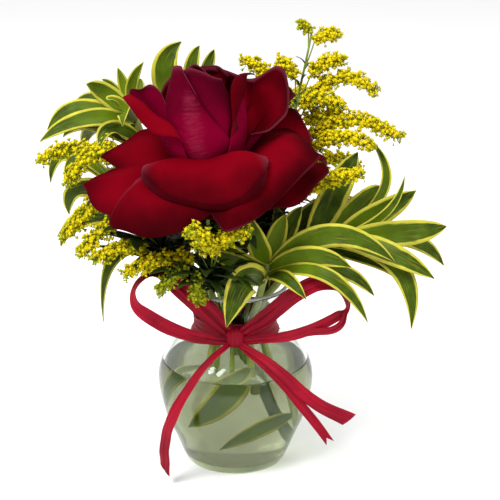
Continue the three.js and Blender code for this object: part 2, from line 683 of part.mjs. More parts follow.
// A plume is a slim core whose florets are raised from it: on every ring each second corner stands
// out as the tip of a floret and the corners between stay on the core, turn and turn about.
function plumeSolid([, start, middle, end, radius], seed, grow) {
  const curve = bowThrough(vec(start), vec(middle), vec(end));
  const draw = seeded(seed);
  const rings = Math.round(curve.getLength() / FLORET.spacing);
  const sides = FLORET.around * 2;
  const frames = curve.computeFrenetFrames(rings, false);
  const vertices = [];
  for (let k = 0; k <= rings; k += 1) {
    const s = k / rings;
    const arch = Math.sin(Math.PI * mix(PLUME_ARCH.start, PLUME_ARCH.end, s));
    const taper = mix(PLUME_ARCH.least, 1, arch);
    for (let j = 0; j < sides; j += 1) {
      const out = k > 0 && k < rings && (j + k) % 2 === 1;
      const tipReach = radius * (1 + FLORET.varies * (draw() - 0.5));
      const reach = taper * (out ? tipReach : FLORET.coreRadius);
      const turn = ((j + FLORET.strays * draw()) / sides) * Math.PI * 2;
      vertices.push(
        curve
          .getPointAt(s)
          .addScaledVector(frames.normals[k], Math.cos(turn) * (reach + grow))
          .addScaledVector(frames.binormals[k], Math.sin(turn) * (reach + grow))
          .addScaledVector(frames.tangents[k], out ? FLORET.spacing * FLORET.leans : 0),
      );
    }
  }
  const triangles = [];
  for (let k = 0; k < rings; k += 1) {
    for (let j = 0; j < sides; j += 1) {
      const [a, b] = [k * sides + j, k * sides + ((j + 1) % sides)];
      const [c, d] = [b + sides, a + sides];
      if ((j + k) % 2 === 0) triangles.push([a, b, c], [a, c, d]);
      else triangles.push([a, b, d], [b, c, d]);
    }
  }
  for (let j = 1; j + 1 < sides; j += 1) {
    triangles.push([0, j + 1, j]);
    triangles.push([rings * sides, rings * sides + j, rings * sides + j + 1]);
  }
  return solidFrom(vertices, triangles);
}

// Ribbon: a band round the neck, a knot in front, two loops and two tails of flat strip.
// Each station: point, width, the way the strip's face looks.
const RIBBON = { thickness: 0.7, steps: 10 };
const STRIPS = [
  // left loop, out along the top and back below
  [
    [[-2, -26, 82], 5, "front"], [[-14, -28, 97], 12, "front"], [[-30, -30, 113], 11, "frontUp"],
    [[-43, -33, 120], 7, "up"], [[-52, -35, 113], 7, "left"], [[-50, -36, 102], 7, "frontLeft"],
    [[-36, -36, 92], 8, "front"], [[-18, -33, 84], 6, "front"], [[-2, -27, 80], 4, "front"],
  ],
  // right loop
  [
    [[2, -26, 82], 5, "front"], [[16, -29, 94], 9, "front"], [[31, -32, 108], 9, "front"],
    [[43, -34, 115], 9, "frontUp"], [[54, -37, 114], 9, "rightUp"], [[59, -39, 105], 9, "right"],
    [[53, -38, 98], 5.4, "frontRight"], [[34, -36, 88], 6, "front"], [[16, -31, 83], 5, "front"],
    [[2, -27, 80], 4, "front"],
  ],
  // left tail
  [
    [[-2, -27, 79], 3, "front"], [[-14, -40, 73], 4, "frontLeft"], [[-29, -46, 53], 6, "frontLeft"],
    [[-37, -42, 30], 6.5, "frontLeft"], [[-38, -38, 9], 6.5, "frontLeft"],
  ],
  // right tail and the strand that parts from it
  [
    [[2, -27, 79], 3, "front"], [[21, -41, 71], 5, "front"], [[42, -48, 54], 7, "front"],
    [[60, -53, 46], 8.5, "front"],
  ],
  [
    [[2, -26, 78], 3, "front"], [[19, -38, 67], 4, "front"], [[36, -46, 50], 5, "front"],
    [[50, -50, 32], 5, "frontRight"],
  ],
];
const KNOT = { centre: [0, -26.2, 81.5], radii: [6.2, 3.7, 5.6], across: 10, rings: 7 };
const BAND = { heights: [77.5, 81, 86], slack: 0.1, thickness: 0.9 };

function stripSolid(stations, grow) {
  const curve = splineThrough(stations.map(([p]) => p));
  const rows = [];
  for (let k = 0; k <= RIBBON.steps; k += 1) {
    const place = (k / RIBBON.steps) * (stations.length - 1);
    const i = Math.min(stations.length - 2, Math.floor(place));
    const [, w0, f0] = stations[i];
    const [, w1, f1] = stations[i + 1];
    const face = vec(FACES[f0]).normalize().lerp(vec(FACES[f1]).normalize(), place - i);
    const along = curve.getTangent(k / RIBBON.steps);
    const side = along.clone().cross(face).normalize();
    const half = mix(w0, w1, place - i) / 2 + grow;
    const centre = curve.getPoint(k / RIBBON.steps);
    rows.push([-1, 1].map((u) => centre.clone().addScaledVector(side, u * half)));
  }
  return sheet(rows, RIBBON.thickness + grow * 2);
}

function ribbonSolid(grow) {
  const inner = BAND.heights.map((z) => [outerRadius(z) + GAP + BAND.slack - grow, z]);
  const outer = inner.map(([r, z]) => [r + BAND.thickness + grow * 2, z]).reverse();
  const band = lathe([...inner, ...outer, inner[0]], VASE.sides);
  const ball = new THREE.SphereGeometry(1, KNOT.across, KNOT.rings);
  const knot = solidOf(ball.scale(...KNOT.radii).translate(...KNOT.centre));
  return unionOf([band, knot, ...STRIPS.map((strip) => stripSolid(strip, grow))]);
}

const TIDY = 0.01; // edges that lie this close are merged

// Assembly: each piece is cut clear of the pieces placed before it
const group = new THREE.Group();
const placed = [];

function place(name, colour, make) {
  let body = make(0);
  for (const neighbour of placed) body = body.subtract(neighbour);
  body = mainBody(body.simplify(TIDY));
  placed.push(make(GAP));
  addMesh(name, colour, body);
}

function addMesh(name, colour, body) {
  const { vertProperties, triVerts } = body.getMesh();
  const geometry = new THREE.BufferGeometry();
  geometry.setAttribute("position", new THREE.BufferAttribute(vertProperties, 3));
  geometry.setIndex(new THREE.BufferAttribute(triVerts, 1));
  const [color, roughness, opacity] = COLOURS[colour];
  const material = new THREE.MeshStandardMaterial({
    color,
    roughness,
    metalness: 0,
    opacity,
    transparent: opacity < 1,
  });
  const mesh = new THREE.Mesh(geometry, material);
  mesh.name = name;
  group.add(mesh);
}

place("vase", "glass", vaseSolid);
place("rose_bloom", "petal", bloomSolid);
place("rose_stem", "stem", roseStemSolid);
place("ribbon", "ribbon", ribbonSolid);
for (const [name, shoot] of Object.entries(SHOOTS)) {
  place(name, "dracaena", (grow) => shootSolid(shoot, grow));
}
for (const [name, spray] of Object.entries(GOLDENROD)) {
  place(`${name}_stalk`, "stalk", (grow) => stalkSolid(spray, grow));
}
for (const [name, { plumes }] of Object.entries(GOLDENROD)) {
  plumes.forEach((plume, k) => {
    const seed = name.length * plumes.length + k;
    place(`${name}_plume_${k + 1}`, "goldenrod", (grow) => plumeSolid(plume, seed, grow));
  });
}

// Water: fills the hollow of the vase up to its level, with plain holes for what stands in it
const [, ...standing] = placed;
const water = standing.reduce((body, piece) => body.subtract(piece), waterSolid());
addMesh("water", "water", mainBody(water.simplify(TIDY)));

export default group;
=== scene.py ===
"""Finer surfaces and finishes for a red rose with goldenrod and striped dracaena leaves.

They stand in a small round-bellied glass vase that is part filled with water and tied at the
neck with a ribbon bow. Tables are in millimetres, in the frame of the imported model: +Z up, +Y
away from the viewer, and the origin at the centre of the vase's foot.
"""

import math

import bpy
import numpy as np
from bpy.props import FloatProperty, FloatVectorProperty, PointerProperty
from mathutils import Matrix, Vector


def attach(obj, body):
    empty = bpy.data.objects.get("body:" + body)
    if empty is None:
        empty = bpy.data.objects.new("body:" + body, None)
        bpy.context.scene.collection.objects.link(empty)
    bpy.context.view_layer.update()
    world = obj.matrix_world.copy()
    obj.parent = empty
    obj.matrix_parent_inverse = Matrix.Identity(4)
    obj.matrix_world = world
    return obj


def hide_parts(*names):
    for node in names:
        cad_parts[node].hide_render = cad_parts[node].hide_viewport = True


bl_info = {
    "name": "Rose in a bud vase",
    "version": (1, 0, 0),
    "blender": (4, 5, 0),
    "location": "3D View > Sidebar > Bud vase",
    "description": "Builds a rose, goldenrod and dracaena in a glass vase with a ribbon bow",
    "category": "Object",
}

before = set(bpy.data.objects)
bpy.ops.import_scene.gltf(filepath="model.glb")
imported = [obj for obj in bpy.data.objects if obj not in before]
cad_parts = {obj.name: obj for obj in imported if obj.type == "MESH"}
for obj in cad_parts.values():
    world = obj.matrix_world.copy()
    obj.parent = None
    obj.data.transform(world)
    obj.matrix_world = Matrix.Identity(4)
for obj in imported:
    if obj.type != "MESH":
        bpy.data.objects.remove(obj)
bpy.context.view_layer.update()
MM = 0.001
SEED = 20

# Outer wall of the vase, as radius and height: foot, belly, neck and flared rim
VASE_OUTLINE = [
    [25, 0], [28.2, 3.5], [33.2, 15.5], [38.8, 29], [42.5, 46], [41.2, 58], [35, 68],
    [26, 73.8], [21.6, 79.5], [22, 87], [25.4, 96], [29.8, 104],
]
VASE_HEIGHT = 104
VASE_FLOOR = 5
# Heights at which the wall begins, outside over the foot and inside over the corner
WALL_STARTS = {"outside": 0.5, "inside": VASE_FLOOR + 3}
# The hollow under the foot and the ring that it stands on, as radius and height
VASE_FOOT = [[0, 1.4], [14, 1.3], [20, 0.7], [22, 0.15], [23, 0], [24.4, 0]]
# The corner inside, as distance from the wall and height over the floor
CORNER = [[6, 0], [3, 0.15], [1.5, 0.7], [0.5, 1.7]]
# How far the water climbs at the wall and how soon that fades, and the distances from the wall
# at which its surface has a ring
MENISCUS = {"climb": 1.2, "fade": 1.1, "rings": [0.3, 0.7, 1.2, 1.8, 2.6, 3.8, 6, 12, 20]}
# How far the water laps into the glass
WATER_LAP = 0.06

# The way that a blade or a ribbon faces
FACES = {
    "up": [0, 0, 1],
    "front": [0, -1, 0.15],
    "frontUp": [0, -1, 1],
    "frontLeft": [-0.7, -1, 0.3],
    "frontRight": [0.7, -1, 0.3],
    "left": [-1, -0.3, 0.2],
    "right": [1, -0.3, 0.2],
    "leftUp": [-1, -0.4, 1],
    "rightUp": [1, -0.4, 1],
    "back": [0, 1, 0.2],
    "backUp": [0, 1, 1],
}

# Leafy shoots: a stem and its blades. A blade bows from its root on the stem through a point
# half way along to its tip, and its upper face looks the way that its last word says.
# Each row: share of the stem at the root, half-way point, tip, width, face, twist in degrees.
SHOOTS = {
    "dracaena_left": {
        "stem": [[-12, 9, 51], [-10, 7, 80], [-25, 24, 125], [-45, 40, 160], [-57, 46, 187]],
        "blades": [
            [0.961, [-82, 33, 186], [-106, 24, 176], 12, "frontUp", 20],
            [0.911, [-83, 44, 190], [-104, 42, 178], 11, "frontUp", -20],
            [0.949, [-76, 56, 192], [-91, 57, 188], 8, "frontUp", 0],
            [0.974, [-71, 47, 197], [-82, 45, 203], 12, "front", 10],
            [0.987, [-65, 37, 194], [-68, 25, 199], 10, "frontUp", 0],
            [0.961, [-66, 56, 196], [-75, 62, 202], 6, "front", 0],
            [0.987, [-61, 50, 199], [-65, 51, 211], 7, "front", 30],
            [0.987, [-57, 46, 202], [-50, 42, 216], 7, "front", 20],
            [0.937, [-54, 58, 195], [-53, 63, 202], 7, "front", 0],
            [0.961, [-58, 24, 193], [-60, 14, 187], 12, "leftUp", 0],
            [0.872, [-67, 32, 181], [-73, 17, 174], 11, "frontUp", 20],
            [0.822, [-76, 46, 180], [-95, 38, 175], 12, "frontUp", 0],
            [0.744, [-75, 62, 172], [-88, 72, 158], 12, "backUp", 0],
            [0.846, [-52, 66, 186], [-56, 84, 178], 12, "backUp", 10],
        ],
    },
    "dracaena_back": {
        "stem": [[0, 14, 49], [0, 11, 80], [-8, 32, 120], [-20, 50, 160], [-25, 54, 184]],
        "blades": [
            [0.962, [-39, 54, 206], [-30, 58, 224], 16, "front", 0],
            [0.987, [-25, 59, 207], [-20, 62, 221], 9, "front", 0],
            [0.962, [-17, 64, 204], [-12, 66, 218], 8, "front", 10],
            [0.873, [-22, 76, 190], [-30, 92, 180], 12, "backUp", 0],
            [0.797, [0, 68, 180], [6, 88, 178], 12, "backUp", 0],
            [0.721, [-40, 70, 162], [-52, 84, 148], 12, "backUp", 0],
            [0.618, [4, 64, 150], [16, 84, 138], 12, "backUp", 0],
            [0.516, [-26, 64, 136], [-34, 82, 118], 12, "backUp", 0],
        ],
    },
    "dracaena_low_left": {
        "stem": [[-15, -2, 50], [-12, -1, 80], [-25, 6, 111], [-48, 14, 136], [-66, 22, 152]],
        "blades": [
            [0.973, [-92, 33, 166], [-102, 30, 151], 9, "frontUp", 20],
            [0.933, [-84, 26, 166], [-93, 21, 153], 7, "frontUp", 20],
            [0.893, [-84, 18, 151], [-90, 10, 139], 12, "frontUp", 30],
            [0.787, [-80, 10, 137], [-94, 0, 124], 12, "frontUp", 0],
            [0.6, [-62, -6, 122], [-70, -22, 89], 10, "frontLeft", 60],
            [0.494, [-56, 30, 126], [-72, 36, 112], 12, "up", 20],
            [0.548, [-42, 32, 120], [-52, 46, 106], 12, "backUp", 0],
            [0.52, [-38, 22, 124], [-48, 34, 136], 11, "front", 0],
            [0.0, [-30, -6, 47], [-33, -5, 30], 8, "front", 0],
        ],
    },
    "dracaena_front_right": {
        "stem": [[9, -11, 44], [8, -10, 80], [13, -15, 101], [18, -16, 120]],
        "blades": [
            [0.84, [5, -42, 119], [-4, -52, 98], 17, "front", 0],
            [0.855, [25, -37, 120], [37, -49, 112], 9, "frontUp", 60],
            [0.956, [40, -33, 130], [60, -42, 127], 12, "front", 20],
            [0.971, [51, -31, 141], [83, -37, 128], 13, "front", 20],
            [0.913, [47, -43, 123], [69, -45, 98], 9, "frontUp", 20],
            [0.986, [12, -22, 133], [8, -24, 149], 12, "front", 0],
            [0.986, [22, -14, 134], [27, -12, 146], 11, "front", 0],
            [0.942, [1, -28, 124], [-15, -27, 131], 11, "frontUp", 20],
            [0.971, [0, -25, 128], [-8, -19, 141], 9, "front", 0],
            [0.176, [-6, -24, 46], [-24, -25, 30], 15, "front", 0],
        ],
    },
    "dracaena_right": {
        "stem": [[31, -16, 28], [13, 0, 80], [23, -3, 104], [38, -6, 122], [54, -8, 132]],
        "blades": [
            [0.844, [54, 6, 153], [66, 13, 173], 16, "front", 10],
            [0.967, [80, 5, 154], [72, 10, 181], 6.5, "frontLeft", 60],
            [0.955, [77, -4, 144], [96, -5, 157], 14, "front", 0],
            [0.978, [78, -14, 146], [89, -12, 167], 5, "front", 30],
            [0.911, [68, 8, 146], [80, 14, 153], 12, "front", 0],
            [0.989, [88, -19, 138], [111, -20, 142], 15, "front", 10],
            [0.967, [78, -26, 130], [104, -34, 118], 14, "frontUp", 30],
            [0.944, [88, -8, 132], [112, -8, 116], 12, "frontUp", 0],
            [0.922, [84, -24, 122], [93, -34, 90], 12, "frontUp", 70],
            [0.888, [78, -18, 120], [96, -20, 104], 8, "frontUp", 0],
            [0.777, [56, -28, 120], [73, -33, 108], 9, "frontUp", 0],
            [0.821, [62, 22, 132], [84, 36, 122], 13, "backUp", 0],
            [0.721, [44, 22, 128], [58, 46, 118], 13, "backUp", 0],
            [0.665, [25, 10, 124], [22, 18, 142], 12, "back", 0],
            [0.614, [33, 6, 130], [47, 10, 147], 14, "front", 0],
            [0.553, [26, 0, 128], [36, 2, 146], 12, "front", 0],
            [0.05, [12, -25, 30], [-8, -27, 18], 10, "front", 0],
        ],
    },
}
STEM_RADIUS = {"lower": 2.2, "upper": 1.7}
# A blade's width at its root and its tip as shares of its widest, where along it that is, the
# power that draws it to its point, the depth of its channel and how far its edges waver
BLADE = {
    "root": 0.22, "point": 0.035, "widest": 0.42, "pointed": 4.4, "channel": 0.26, "waver": 0.05,
}

# Rose: where the petals leave the stem, and the way that the bud points
SEAT = [-12, -12, 168]
BUD_AXIS = [-11, -10, 61]
BUD_RADIUS = 17
SEAT_RADIUS = 9
SEAT_DEPTH = 2

# Each petal is a fan of bows from the seat, through its crest, to its outer edge. Crest and edge
# are smooth lines through points, and they run anticlockwise as seen from above.
# rim: radius on which the margin is rolled back. turns: degrees that it is rolled at its first
# corner, its middle and its last corner. frost: how far a painted sheen pales the rolled margin at
# those places.
# sides: how far its two side margins bend back. flap: how far the margin goes on beyond the
# roll, at the same three places. round: how far both corners are rounded off. lit: share of the
# painted shade towards its rim that a petal has, less for one whose rolled margin faces the light.
PETALS = {
    "lip": {
        "crest": [[-41, -32, 180], [-31, -34, 183], [-14, -34, 182], [2, -33, 186], [14, -30, 183]],
        "edge": [
            [-49, -38, 178], [-48, -45, 174], [-36, -53, 169], [-20, -58, 165], [-6, -58, 164],
            [4, -56, 167], [12, -51, 172], [18, -44, 177], [18, -36, 182],
        ],
        "rim": 4.2, "turns": [80, 50, 90], "frost": [1, 0, 1], "sides": [1, 1],
        "round": 0.16,
    },
    "right": {
        "crest": [[-12, -38, 172], [3, -39, 175], [17, -25, 182], [19, -8, 186], [9, 2, 183]],
        "edge": [
            [-14, -54, 163], [-5, -62, 155], [-2, -63, 154], [14, -53, 159], [33, -38, 173],
            [44, -25, 180], [43, -20, 182], [37, -5, 186], [26, 8, 190],
        ],
        "rim": 2.2, "turns": [30, 40, 60], "frost": [0.1, 0.3, 0.3], "lit": 1.12,
    },
    "low_left": {
        "crest": [[-47, -31, 173], [-42, -39, 171], [-30, -41, 174], [-16, -39, 172]],
        "edge": [
            [-62, -43, 161], [-63, -50, 154], [-57, -55, 151], [-44, -61, 150], [-29, -62, 152],
            [-18, -60, 157], [-9, -54, 162],
        ],
        "rim": 2.2, "turns": [90, 30, 20], "frost": [1, 0, 0], "sides": [3, 0], "lit": 1.15,
    },
    "low_tip": {
        "crest": [[-40, -20, 175], [-46, -27, 174], [-47, -32, 170]],
        "edge": [
            [-60, -25, 175], [-70, -29, 172], [-77, -34, 169], [-76, -36, 167], [-70, -43, 160],
            [-60, -47, 156],
        ],
        "rim": 1.6, "turns": [30, 40, 20], "frost": [0.3, 0.3, 0],
    },
    "left": {
        "crest": [[-27, 0, 181], [-36, -6, 183], [-39, -16, 178], [-32, -25, 172]],
        "edge": [
            [-40, 5, 187], [-48, 0, 190], [-57, -6, 184], [-68, -13, 178], [-68, -15, 177],
            [-58, -21, 173], [-46, -30, 171],
        ],
        "rim": 1.8, "turns": [60, 20, 30], "frost": [0.3, 0.2, 0],
    },
    "left_ear": {
        "crest": [[-37, -15, 188], [-35, -24, 185], [-29, -29, 181], [-20, -31, 176]],
        "edge": [
            [-53, -14, 212], [-46, -19, 209], [-41, -23, 204], [-36, -26, 200], [-30, -28, 195],
        ],
        "rim": 2.8, "turns": [90, 170, 150], "frost": [0.1, 0, 0.1], "flap": [3, 9, 5], "lit": 0.55,
    },
    "ear_back": {
        "crest": [[-34, -8, 190], [-34, -18, 190], [-28, -26, 187]],
        "edge": [
            [-54, -12, 211], [-52, -12, 214], [-47, -14, 216], [-42, -17, 217], [-37, -20, 214],
            [-34, -23, 207],
        ],
        "rim": 1.6, "turns": [60, 70, 30], "frost": [0.3, 0.6, 0.8],
    },
    "right_wrap": {
        "crest": [[-4, -31, 182], [2, -25, 187], [6, -16, 192], [6, -7, 193]],
        "edge": [
            [-1, -27, 197], [-2, -23, 206], [-3, -18, 213], [-3, -12, 219], [1, -5, 217],
        ],
        "rim": 6.2, "turns": [50, 150, 130], "frost": [0.2, 0, 0.2], "lit": 0.75,
    },
    "high_right": {
        "crest": [[6, -14, 184], [14, -8, 188], [15, -1, 192], [6, 2, 195], [-2, 3, 196]],
        "edge": [
            [8, -19, 192], [19, -16, 193], [28, -6, 200], [28, 3, 212], [22, 7, 221], [10, 2, 216],
            [-3, 3, 218],
        ],
        "rim": 2.8, "turns": [40, 50, 80], "frost": [0.5, 0.5, 0.5],
    },
    "high_back": {
        "crest": [[5, 1, 196], [-4, 8, 198], [-13, 8, 198]],
        "edge": [[11, -3, 216], [3, -1, 218], [-7, 1, 220], [-15, 2, 221], [-22, 4, 218]],
        "rim": 2.2, "turns": [60, 70, 50], "frost": [0.4, 0.5, 0.2],
    },
    "far_right": {
        "crest": [[18, -3, 182], [18, 6, 188], [8, 11, 186]],
        "edge": [[41, -4, 181], [39, 5, 187], [32, 12, 198], [23, 18, 197], [13, 23, 190]],
        "rim": 2.4, "turns": [50, 60, 50], "frost": [0.2, 0.4, 0.2],
    },
    "far_high": {
        "crest": [[15, 0, 196], [14, 9, 199], [6, 13, 198]],
        "edge": [[26, 1, 203], [31, 7, 206], [31, 14, 208], [23, 22, 213], [11, 24, 212]],
        "rim": 2.6, "turns": [60, 70, 60], "frost": [0.2, 0.3, 0.2],
    },
    "under_right": {
        "crest": [[2, -34, 164], [14, -25, 169], [21, -15, 172], [22, -5, 172]],
        "edge": [
            [4, -54, 156], [19, -46, 161], [33, -39, 161], [42, -29, 167], [49, -20, 171],
            [48, -5, 172],
        ],
        "rim": 2.2, "turns": [30, 40, 40], "frost": [0, 0.1, 0.2],
    },
    "under_front": {
        "crest": [[-30, -30, 165], [-14, -35, 166], [0, -32, 165]],
        "edge": [[-40, -46, 158], [-24, -54, 158], [-8, -55, 158], [6, -50, 157]],
        "rim": 2.2, "turns": [30, 40, 30], "frost": [0, 0, 0],
    },
    "under_left": {
        "crest": [[-34, 0, 170], [-38, -11, 172], [-32, -22, 168]],
        "edge": [[-56, 6, 168], [-66, -6, 166], [-64, -22, 161], [-50, -34, 157]],
        "rim": 2.4, "turns": [50, 60, 40], "frost": [0.2, 0.2, 0.1],
    },
    "back_tip": {
        "crest": [[-6, 3, 202], [-16, 6, 204], [-24, 1, 202]],
        "edge": [[-3, -3, 218], [-9, 1, 222], [-17, 3, 222], [-26, -1, 218]],
        "rim": 1.8, "turns": [60, 60, 60], "frost": [0.3, 0.4, 0.3],
    },
    "back_left": {
        "crest": [[-22, 4, 198], [-31, -2, 198], [-33, -11, 193]],
        "edge": [[-24, 8, 216], [-30, 4, 218], [-35, -2, 215], [-38, -7, 210], [-40, -13, 204]],
        "rim": 2, "turns": [60, 70, 40], "frost": [0.3, 0.4, 0.2],
    },
    "back_high": {
        "crest": [[1, 6, 198], [-16, 12, 201], [-33, 2, 197]],
        "edge": [[15, 15, 203], [8, 27, 204], [-14, 32, 200], [-35, 25, 202], [-46, 11, 199]],
        "rim": 3, "turns": [70, 105, 70], "frost": [0.3, 0.3, 0.3],
    },
    "back": {
        "crest": [[7, 10, 192], [-4, 20, 195], [-21, 14, 191]],
        "edge": [[24, 20, 188], [17, 38, 184], [-4, 47, 181], [-24, 42, 183], [-37, 28, 187]],
        "rim": 3.2, "turns": [60, 100, 60], "frost": [0.3, 0.3, 0.3],
    },
    "back_low_left": {
        "crest": [[-16, 17, 183], [-34, 14, 185], [-38, -1, 182]],
        "edge": [[-12, 44, 175], [-33, 43, 172], [-51, 32, 172], [-61, 15, 174], [-60, 1, 178]],
        "rim": 3, "turns": [50, 90, 60], "frost": [0.3, 0.3, 0.3],
    },
    "back_low_right": {
        "crest": [[21, -3, 178], [19, 11, 181], [0, 17, 180]],
        "edge": [[47, -5, 173], [49, 12, 170], [39, 30, 167], [21, 42, 168], [0, 45, 173]],
        "rim": 3, "turns": [60, 90, 50], "frost": [0.3, 0.3, 0.3],
    },
}
# Heights of the two waves along a petal's margin
MARGIN_WAVES = [0.8, 0.4]
# The slow drift of a surface: the size of its waves and how far they move it
PETAL_DRIFT = [34, 1.0]
BUD_DRIFT = [18, 0.5]
RIBBON_DRIFT = [16, 0.35]
# Bud petals wrap the axis between two angles at half their height, and lean with height.
# Each row: from, to, slant, height, where across its tip is, and the share of the bud's radius
# at which it lies.
BUD_PETALS = [
    [150, 304, 92, 65.5, 0.96, 1.04],
    [240, 374, 20, 63, 0.3, 0.99],
    [10, 172, 60, 60, 0.5, 1],
    [190, 380, 70, 59, 0.6, 0.84],
    [310, 500, 70, 58, 0.5, 0.8],
    [70, 260, 70, 59, 0.5, 0.74],
    [200, 400, 80, 58, 0.5, 0.6],
    [330, 530, 80, 57, 0.5, 0.54],
    [90, 290, 80, 57, 0.5, 0.44],
    [220, 440, 90, 56, 0.5, 0.32],
    [30, 250, 90, 55, 0.5, 0.22],
]
# Where round the bud its front petal is rippled, in degrees
RIPPLED = {"middle": 262, "spread": 27}
ROSE_STALK = [[22, 5, 13], [-2, -2, 80], [-6, -7, 120], [-11, -11, 159]]
HIP = [[0, -14], [2.6, -13], [5.6, -9], [6, -5.4], [0, -5]]
# Sepals: how far from the axis and how far under the seat they start, how far they reach out and
# fall, half their width, and their thickness
SEPALS = {
    "count": 5, "out": 3, "under": 7, "reach": 18, "fall": 19, "half_width": 3.5, "thickness": 0.7,
}
# Leaves on the rose's stalk, dark green with painted shade: lowest and highest share of it, count,
# longest, shortest, width as a share of length, seed, and how far they lean away
ROSE_LEAVES = [
    [0.7, 0.87, 22, 33, 27, 0.42, 9, 1],
    [0.6, 0.7, 12, 26, 28, 0.42, 4, 1],
    [0.34, 0.52, 12, 26, 22, 0.36, 6, 0.32],
]

# Goldenrod: green stalks with branches, each ending in a plume of florets.
# Each plume row: stalk share, start of the florets, half-way point, end, radius of the plume.
GOLDENROD = {
    "goldenrod_right": {
        "stalk": [
            [7, 14, 49], [6, 12, 80], [16, 30, 125], [28, 44, 167], [36, 47, 202], [40, 46, 222],
            [42, 46, 233],
        ],
        "plumes": [
            [0.915, [43, 45, 226], [49, 45, 229], [56, 45, 230], 4.2],
            [0.975, [40, 46, 231], [38, 46, 234], [35, 45, 236], 2.4],
            [0.806, [41, 42, 208], [49, 39, 215], [59, 38, 217], 4.4],
            [0.806, [33, 44, 206], [29, 44, 211], [24, 47, 215], 4.6],
            [0.734, [42, 41, 196], [59, 35, 208], [75, 30, 201], 4.4],
            [0.709, [38, 37, 191], [46, 29, 198], [57, 25, 195], 5.2],
            [0.661, [38, 38, 182], [47, 37, 187], [57, 37, 189], 4.8],
            [0.587, [42, 32, 175], [62, 24, 187], [88, 15, 180], 5.0],
            [0.563, [42, 28, 169], [57, 15, 180], [73, 5, 177], 4.4],
            [0.515, [34, -4, 153], [50, -7, 162], [67, -8, 166], 5.0],
            [0.394, [40, 32, 136], [54, 26, 138], [67, 22, 142], 3.6],
            [0.757, [22, 52, 198], [14, 56, 208], [4, 60, 212], 4.4],
            [0.686, [32, 60, 186], [36, 74, 190], [44, 86, 184], 4.6],
            [0.587, [22, 60, 166], [16, 76, 170], [8, 90, 164], 4.6],
            [0.49, [40, 52, 152], [56, 58, 156], [70, 62, 148], 4.6],
        ],
    },
    "goldenrod_left": {
        "stalk": [
            [-11, -11, 51], [-9, -10, 80], [-18, -13, 104], [-42, -13, 130], [-62, -6, 158],
            [-68, 0, 168],
        ],
        "plumes": [
            [0.973, [-74, 2, 173], [-88, 3, 177], [-102, 0, 171], 4.6],
            [0.961, [-68, -3, 172], [-76, -9, 176], [-86, -12, 163], 4.8],
            [0.816, [-68, -9, 158], [-78, -14, 146], [-90, -16, 134], 4.6],
            [0.711, [-60, -16, 142], [-70, -20, 138], [-80, -23, 127], 4.6],
            [0.554, [-46, -22, 130], [-60, -28, 131], [-73, -29, 126], 4.8],
            [0.895, [-65, 8, 166], [-68, 20, 172], [-75, 31, 170], 4.4],
            [0.607, [-46, 0, 143], [-49, 12, 151], [-54, 24, 156], 4.4],
        ],
    },
    "goldenrod_front": {
        "stalk": [[-2, -15, 50], [-2, -13, 80], [-8, -23, 103], [-13, -37, 124]],
        "plumes": [
            [0.848, [-20, -34, 128], [-40, -36, 127], [-56, -38, 121], 4.8],
            [0.818, [-24, -39, 124], [-31, -42, 121], [-38, -42, 113], 4.4],
            [0.909, [-16, -42, 121], [-19, -44, 118], [-18, -45, 109], 4.2],
            [0.985, [-11, -46, 137], [-16, -61, 148], [-22, -66, 155], 5.6],
            [0.985, [-8, -43, 137], [-2, -52, 146], [8, -55, 150], 4.4],
            [0.985, [-20, -28, 135], [-25, -18, 142], [-32, -8, 142], 4.4],
        ],
    },
}
STALK_RADIUS = {"lower": 1.5, "upper": 0.55, "branch": 0.45, "tip": 0.22}
# How far below its plume a branch leaves the stalk and how far it sags, as shares of their lengths
FORK = 0.03
SAG = 0.05
# The green core of a plume, as a share of the plume's radius
CORE = 0.42
GOLDEN_ANGLE = math.radians(137.5)
# Heads of a plume: the distance between its whorls of branchlets, the degrees round its axis at
# which they stand, the shares of a branchlet at which its heads sit, and the size of a head
HEADS = {
    "apart": 1.7, "around": [-122, -62, 0, 55, 116], "stages": [0.34, 0.66, 0.96],
    "width": 3.2, "heights": [2.4, 3.2], "stalklet": 0.42,
}
# Plumes that are still in bud, counted from 0: how far their heads have opened
UNRIPE = {"goldenrod_front": {1: 0.4, 2: 0.4}, "goldenrod_right": {1: 0.6}}
# How ripe each spray is: less shows more of the green cups
RIPENESS = {"goldenrod_right": 0.9, "goldenrod_left": 0.66, "goldenrod_front": 0.82}
# Long leaves, dark green with painted shade, where each stalk leaves the vase: lowest and highest
# share of the stalk, and their count
FOLIAGE = {
    "goldenrod_right": [0.309, 0.54, 46],
    "goldenrod_left": [0.396, 0.77, 42],
    "goldenrod_front": [0.726, 0.954, 24],
}
# Those leaves, and the narrow ones further up: longest, shortest, and width as a share of length
LONG_LEAVES = [36, 24, 0.24]
NARROW_LEAVES = [20, 8, 0.17]

